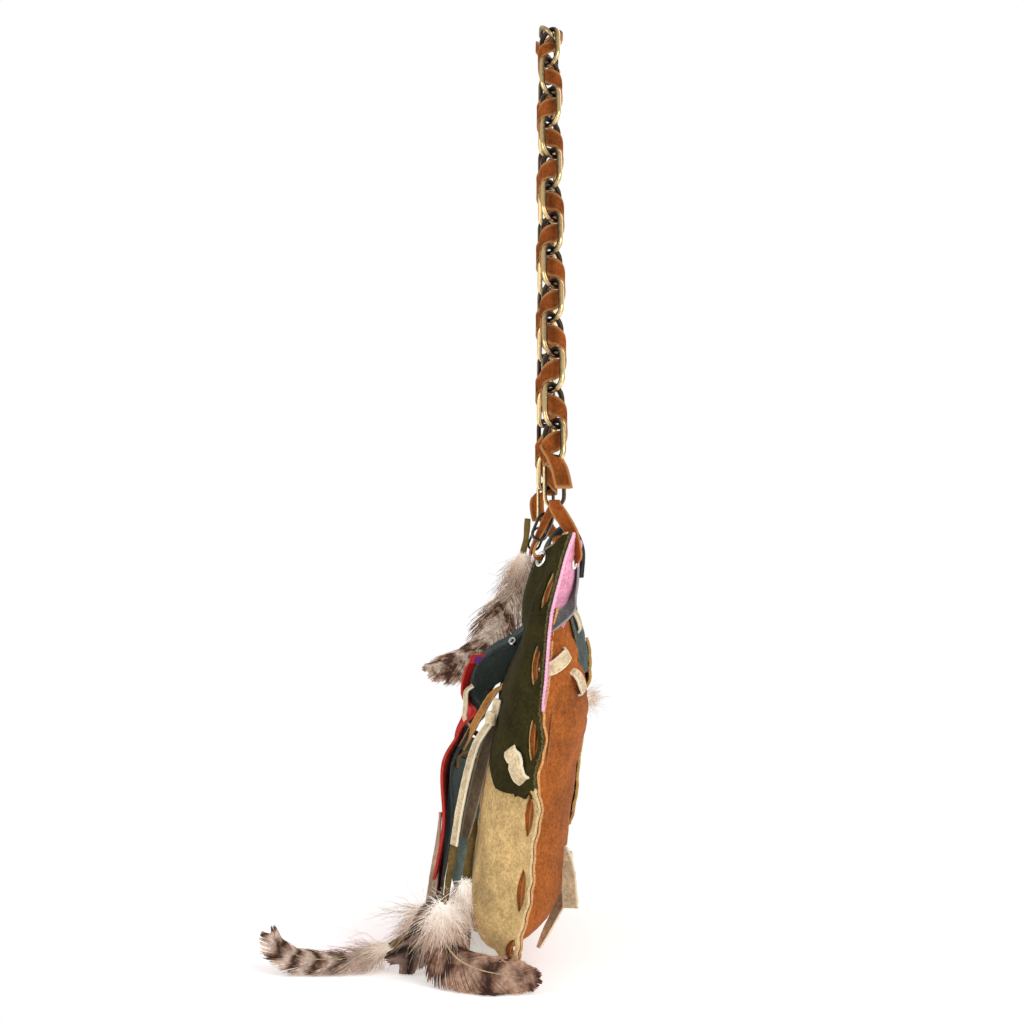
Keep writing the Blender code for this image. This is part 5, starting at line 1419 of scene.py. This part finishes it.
def feather_mesh(name, spine, widths, facing, look, barbs, downy):
    """Feather: a tapered shaft with flat barbs that lie over each other, loose over its downy first share."""
    places = np.linspace(0, 1, 70)
    shaft = along(spine, at=places)
    heading = directions(shaft)
    across = unit(np.cross(heading, np.broadcast_to(np.asarray(facing, dtype=float), heading.shape)))
    normal = np.cross(across, heading)
    length = np.linalg.norm(np.diff(shaft, axis=0), axis=1).sum()
    reach = np.linspace(0, 1, 9)
    strips = []
    for sign in (-1, 1):
        at = np.sort(random.uniform(0, 0.985, barbs))
        loose = np.clip(1 - at / downy, 0, 1)
        clump = ripple(np.stack([at * length, at * 0 + sign * 9, at * 0], axis=1), 5, 51)
        width = smooth(widths)(at) * random.uniform(0.88, 1.06, barbs) * (1 + 0.08 * clump)
        root, ahead, out, up = (np.stack([np.interp(at, places, line[:, k]) for k in range(3)], axis=1)
                                for line in (shaft, heading, across * sign, normal))
        tilt = 0.35 + 0.2 * clump + random.normal(0, 0.05, barbs) + random.normal(0, 0.45, barbs) * loose
        side_way = (reach - 0.12 * reach ** 3) * np.cos(tilt * 0.8)[:, None]
        forward = 0.35 * reach + 0.6 * reach ** 2 + np.sin(tilt)[:, None] * reach
        wild = (random.normal(0, 0.05, barbs) + random.normal(0, 0.3, barbs) * loose)[:, None]
        curl = loose[:, None] * 0.1 * np.sin(reach * 7 + random.uniform(0, 6.3, barbs)[:, None])
        rise = wild * reach - VANE_CUP * reach ** 2 + curl
        left = (1 - at)[:, None] * length + 2 + 3 * random.uniform(0, 1, barbs)[:, None]
        forward = np.minimum(forward * width[:, None], left * (0.35 + 0.65 * reach))
        curve = (root[:, None] + out[:, None] * (side_way * width[:, None])[..., None]
                 + ahead[:, None] * forward[..., None] + up[:, None] * (rise * width[:, None])[..., None])
        curve = above_floor(curve, random.uniform(0, 1, barbs)[:, None])
        radius = BARB_THICK * (1 - 0.8 * reach ** 1.3) * (1 - 0.7 * loose[:, None])
        strips.append((curve, np.broadcast_to(radius, curve.shape[:2]), up, at))
    curves, radii, ups, runs = (np.concatenate(part) for part in zip(*strips))
    vertices, faces, run, out = strands(curves, radii, ups, runs)
    sides = 6
    turns = np.arange(sides) * 2 * math.pi / sides
    size = (0.7 * (1 - places) + 0.14)[:, None, None]
    rings = shaft[:, None] + size * (across[:, None] * np.cos(turns)[None, :, None]
                                     + normal[:, None] * np.sin(turns)[None, :, None])
    rings = above_floor(rings.reshape(-1, 3), 1)
    stem = [tuple(len(vertices) + k for k in face) for face in tube_faces(len(places), sides)]
    index = np.concatenate([np.zeros(len(faces)), np.ones(len(stem))])
    made = mesh_object(name, np.vstack([vertices, rings]), faces.tolist() + stem, [look, SHAFT], index, None)
    paint(made, "run", np.concatenate([run, np.repeat(places, sides)]))
    paint(made, "out", np.concatenate([out, np.zeros(len(rings))]))
    return dress(made, "bag", "barred_feather")


def down_tuft(name, root, heading, count, length, spread, look, droop=0.15, flatten=1):
    """Fan of soft curled down from one point."""
    reach = np.linspace(0, 1, 10)
    ways = unit(unit(heading) + random.normal(0, spread, (count, 3)) * flatten)
    long = (length * random.uniform(0.4, 1, count))[:, None]
    bend, swirl = random.normal(0, 0.2, (count, 3)), random.normal(0, 0.05, (count, 3))
    phase = random.uniform(0, 2 * math.pi, (count, 1))
    curve = (root + random.normal(0, 0.7, (count, 1, 3)) + ways[:, None] * (long * reach)[..., None]
             + bend[:, None] * (long * reach ** 2)[..., None]
             + swirl[:, None] * (long * np.sin(reach * 9 + phase))[..., None])
    curve[..., 2] -= droop * long * reach ** 2
    curve = above_floor(curve, random.uniform(0, 1, count)[:, None])
    radius = np.broadcast_to(DOWN_THICK * (1 - 0.7 * reach), (count, len(reach)))
    flat = unit(random.normal(0, 1, (count, 3)))
    vertices, faces, run, out = strands(curve, radius, flat, random.uniform(0, 1, count))
    made = mesh_object(name, vertices, faces.tolist(), [look], sharp=None)
    paint(made, "run", run)
    paint(made, "out", out)
    return dress(made, "bag", "barred_feather")


def quill_sleeve(name, points):
    """Flat suede sleeve that holds a feather's quill."""
    course = along(points, 26)
    heading = directions(course)
    across = unit(np.cross(heading, (1, 0.2, 0.1)))
    normal = np.cross(across, heading)
    sides = 14
    turns = 2 * math.pi * np.arange(sides)[:, None] / sides
    share = np.linspace(0, 1, len(course))
    half = SLEEVE_RADIUS * (1 + 0.08 * np.sin(share * 9)) * np.where(share > 0.97, 0.8, 1)
    half = half[:, None, None]
    rings = (course[:, None] + across[:, None] * half * np.cos(turns)
             + normal[:, None] * half * 0.8 * np.sin(turns))
    vertices = rings.reshape(-1, 3)
    made = mesh_object(name, vertices, tube_faces(len(course), sides), [SLEEVE], sharp=50)
    return dress(made, "bag", "barred_feather")


def from_top(route):
    """Points from (place out from the far ring, depth, drop below the swing axis)."""
    return np.array([(-RING_X + inset, depth, AXIS_HEIGHT - drop) for inset, depth, drop in route])


def feathers():
    """All feathers and tufts of down with the sleeves that hold them."""
    tie_end = tie_route()[0][-1]
    place, share, loose = HANGING_ROUTE[-1]
    hanging_end = on_flap(place, share, OVER_FLAP + loose)
    side_top, _ = on_panel(-1, BASE_HALF_WIDTH - SIDE_FEATHER_INSET, SIDE_FEATHER_TOP * BAG_HEIGHT,
                           SUEDE + GAP + SLEEVE_RADIUS * 1.15)
    sleeves = {"upper": from_top(UPPER_SLEEVE), "front": tie_end + np.array(FRONT_SLEEVE),
               "dark": tie_end + np.array(DARK_SLEEVE), "side": side_top + np.array(SIDE_SLEEVE),
               "floor": hanging_end + np.array(FLOOR_SLEEVE)}
    for name, points in sleeves.items():
        quill_sleeve(f"{name}_sleeve", points)
    ends = {name: points[-1] for name, points in sleeves.items()}
    for name, vane, widths, facing, look, barbs, loose in (
            ("upper", from_top(UPPER_VANE), UPPER_WIDTHS, (1, -0.5, 0.6), UPPER_PLUME, 460, 0.45),
            ("front", hung(FRONT_VANE), FRONT_WIDTHS, (0.9, -0.25, 0.45), BROWN_PLUME, 420, 0.2),
            ("dark", hung(DARK_VANE), DARK_WIDTHS, (1, 0, 0.1), DARK_PLUME, 260, 0.25),
            ("side", side_top + np.array(SIDE_VANE), SIDE_WIDTHS, (1, 0.1, 0), BROWN_PLUME, 220, 0.3),
            ("floor", hung(FLOOR_VANE), FLOOR_WIDTHS, (0.45, 0, 1), FLOOR_PLUME, 360, 0.5)):
        spine = np.vstack([ends[name][None], vane])
        made = feather_mesh(f"{name}_plume", spine, widths, facing, look, barbs, loose)
        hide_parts(f"{name}_feather")
    down_tuft("upper_down", ends["upper"], (0.3, -0.3, -1), 460, 30, 0.28, PALE_DOWN)
    down_tuft("front_down", ends["front"], (0.6, 0.1, -0.8), 1000, 25, 0.6, WHITE_DOWN, 0.2)
    down_tuft("side_down", ends["side"], (0.2, 0, -1), 420, 27, 0.35, WHITE_DOWN)
    down_tuft("flap_down", hanging_end + (0, 2, 8), (0.3, -0.7, -0.9), 420, 30, 0.45, PALE_DOWN)
    down_tuft("floor_down", ends["floor"], (0.2, -1, -0.3), 300, 30, 0.3, PALE_DOWN)
    root, out = on_panel(1, 10, 149, 2 * SUEDE + 1.4)
    down_tuft("back_tuft", root - out, out + 0.1 * UP, 420, 13.5, 0.3, WHITE_DOWN, 0, (0.6, 1, 1))


# Lights and stage

def in_scene(name, data, place):
    """Object that holds a lamp or a camera, at its place."""
    made = bpy.data.objects.new(name, data)
    bpy.context.scene.collection.objects.link(made)
    made.location = place
    return made


def area_light(name, place, power):
    """Soft square lamp at a place, aimed at the middle of the part."""
    lamp = bpy.data.lights.new(name, "AREA")
    lamp.shape = "RECTANGLE"
    lamp.size = lamp.size_y = LAMP_SIZE
    lamp.energy = power
    made = in_scene(name, lamp, place)
    made.rotation_euler = (Vector(LAMPS_AIM) - Vector(place)).to_track_quat("-Z", "Y").to_euler()


def white_to_view(look, lit):
    """Shader that is white to the camera and the given one to other rays."""
    ray = add(look, "LightPath", {}).outputs["Is Camera Ray"]
    kind = "Background" if lit.type == "BACKGROUND" else "Emission"
    shown = add(look, kind, {"Color": WHITE, "Strength": 1})
    return add(look, "MixShader", {0: ray, 1: lit.outputs[0], 2: shown.outputs[0]}).outputs[0]


def white_floor(floor_z):
    """Pale floor with soft shadows near the bag that turns to plain white further off."""
    bpy.ops.mesh.primitive_plane_add(size=60, location=(0, 0, floor_z))
    floor = bpy.context.object
    floor.name = "floor"
    look = new_look("floor_white", 0.9, 0)
    shader = feed(look, shader_of(look), {"Base Color": WHITE, "Emission Color": WHITE,
                                          "Emission Strength": FLOOR_GLOW})
    white = white_to_view(look, shader)
    away = add(look, "VectorMath", {0: add(look, "TexCoord", {}).outputs["Object"]}, operation="LENGTH")
    fade = add(look, "MapRange", {"Value": away.outputs["Value"], "From Min": FLOOR_SHADOW_FROM,
                                  "From Max": FLOOR_SHADOW_TO}, interpolation_type="SMOOTHSTEP")
    mix = add(look, "MixShader", {0: fade.outputs["Result"], 1: shader.outputs[0], 2: white})
    feed(look, look.node_tree.nodes["Material Output"], {"Surface": mix.outputs[0]})
    floor.data.materials.append(look)


def studio():
    """White surroundings, a pale floor, soft lamps and the camera."""
    world = bpy.data.worlds.new("studio_world")
    bpy.context.scene.world = world
    world.use_nodes = True
    lit = feed(world, world.node_tree.nodes["Background"], {"Color": WHITE, "Strength": WORLD_LIGHT})
    feed(world, world.node_tree.nodes["World Output"], {"Surface": white_to_view(world, lit)})
    white_floor(cad_box[0][2] - FLOOR_BELOW_PART)
    for lamp in LAMPS:
        area_light(*lamp)
    camera = in_scene("camera", bpy.data.cameras.new("camera"), CAMERA_AT)
    camera.rotation_euler = (math.radians(CAMERA_PITCH), 0, math.radians(90))
    camera.data.lens = CAMERA_LENS
    camera.data.sensor_width = CAMERA_SENSOR
    camera.data.clip_start = 0.01
    camera.data.clip_end = 100
    bpy.context.scene.camera = camera
    bpy.context.scene.view_settings.view_transform = "Standard"


studio()
chain()
strap_lace()
panel("front", FRONT_MOUTH, -1, SAND, "sand_suede", OLIVE_COVERS_FROM)
panel("back", BACK_MOUTH, 1, RUST, "rust_suede", PINK_COVERS_FROM)
corner_patches()
back_patches()
front_pocket()
flap()
seam_lacing()
eyelets()
corner_laces()
front_tie()
loose_laces()
flap_eyelets()
feathers()
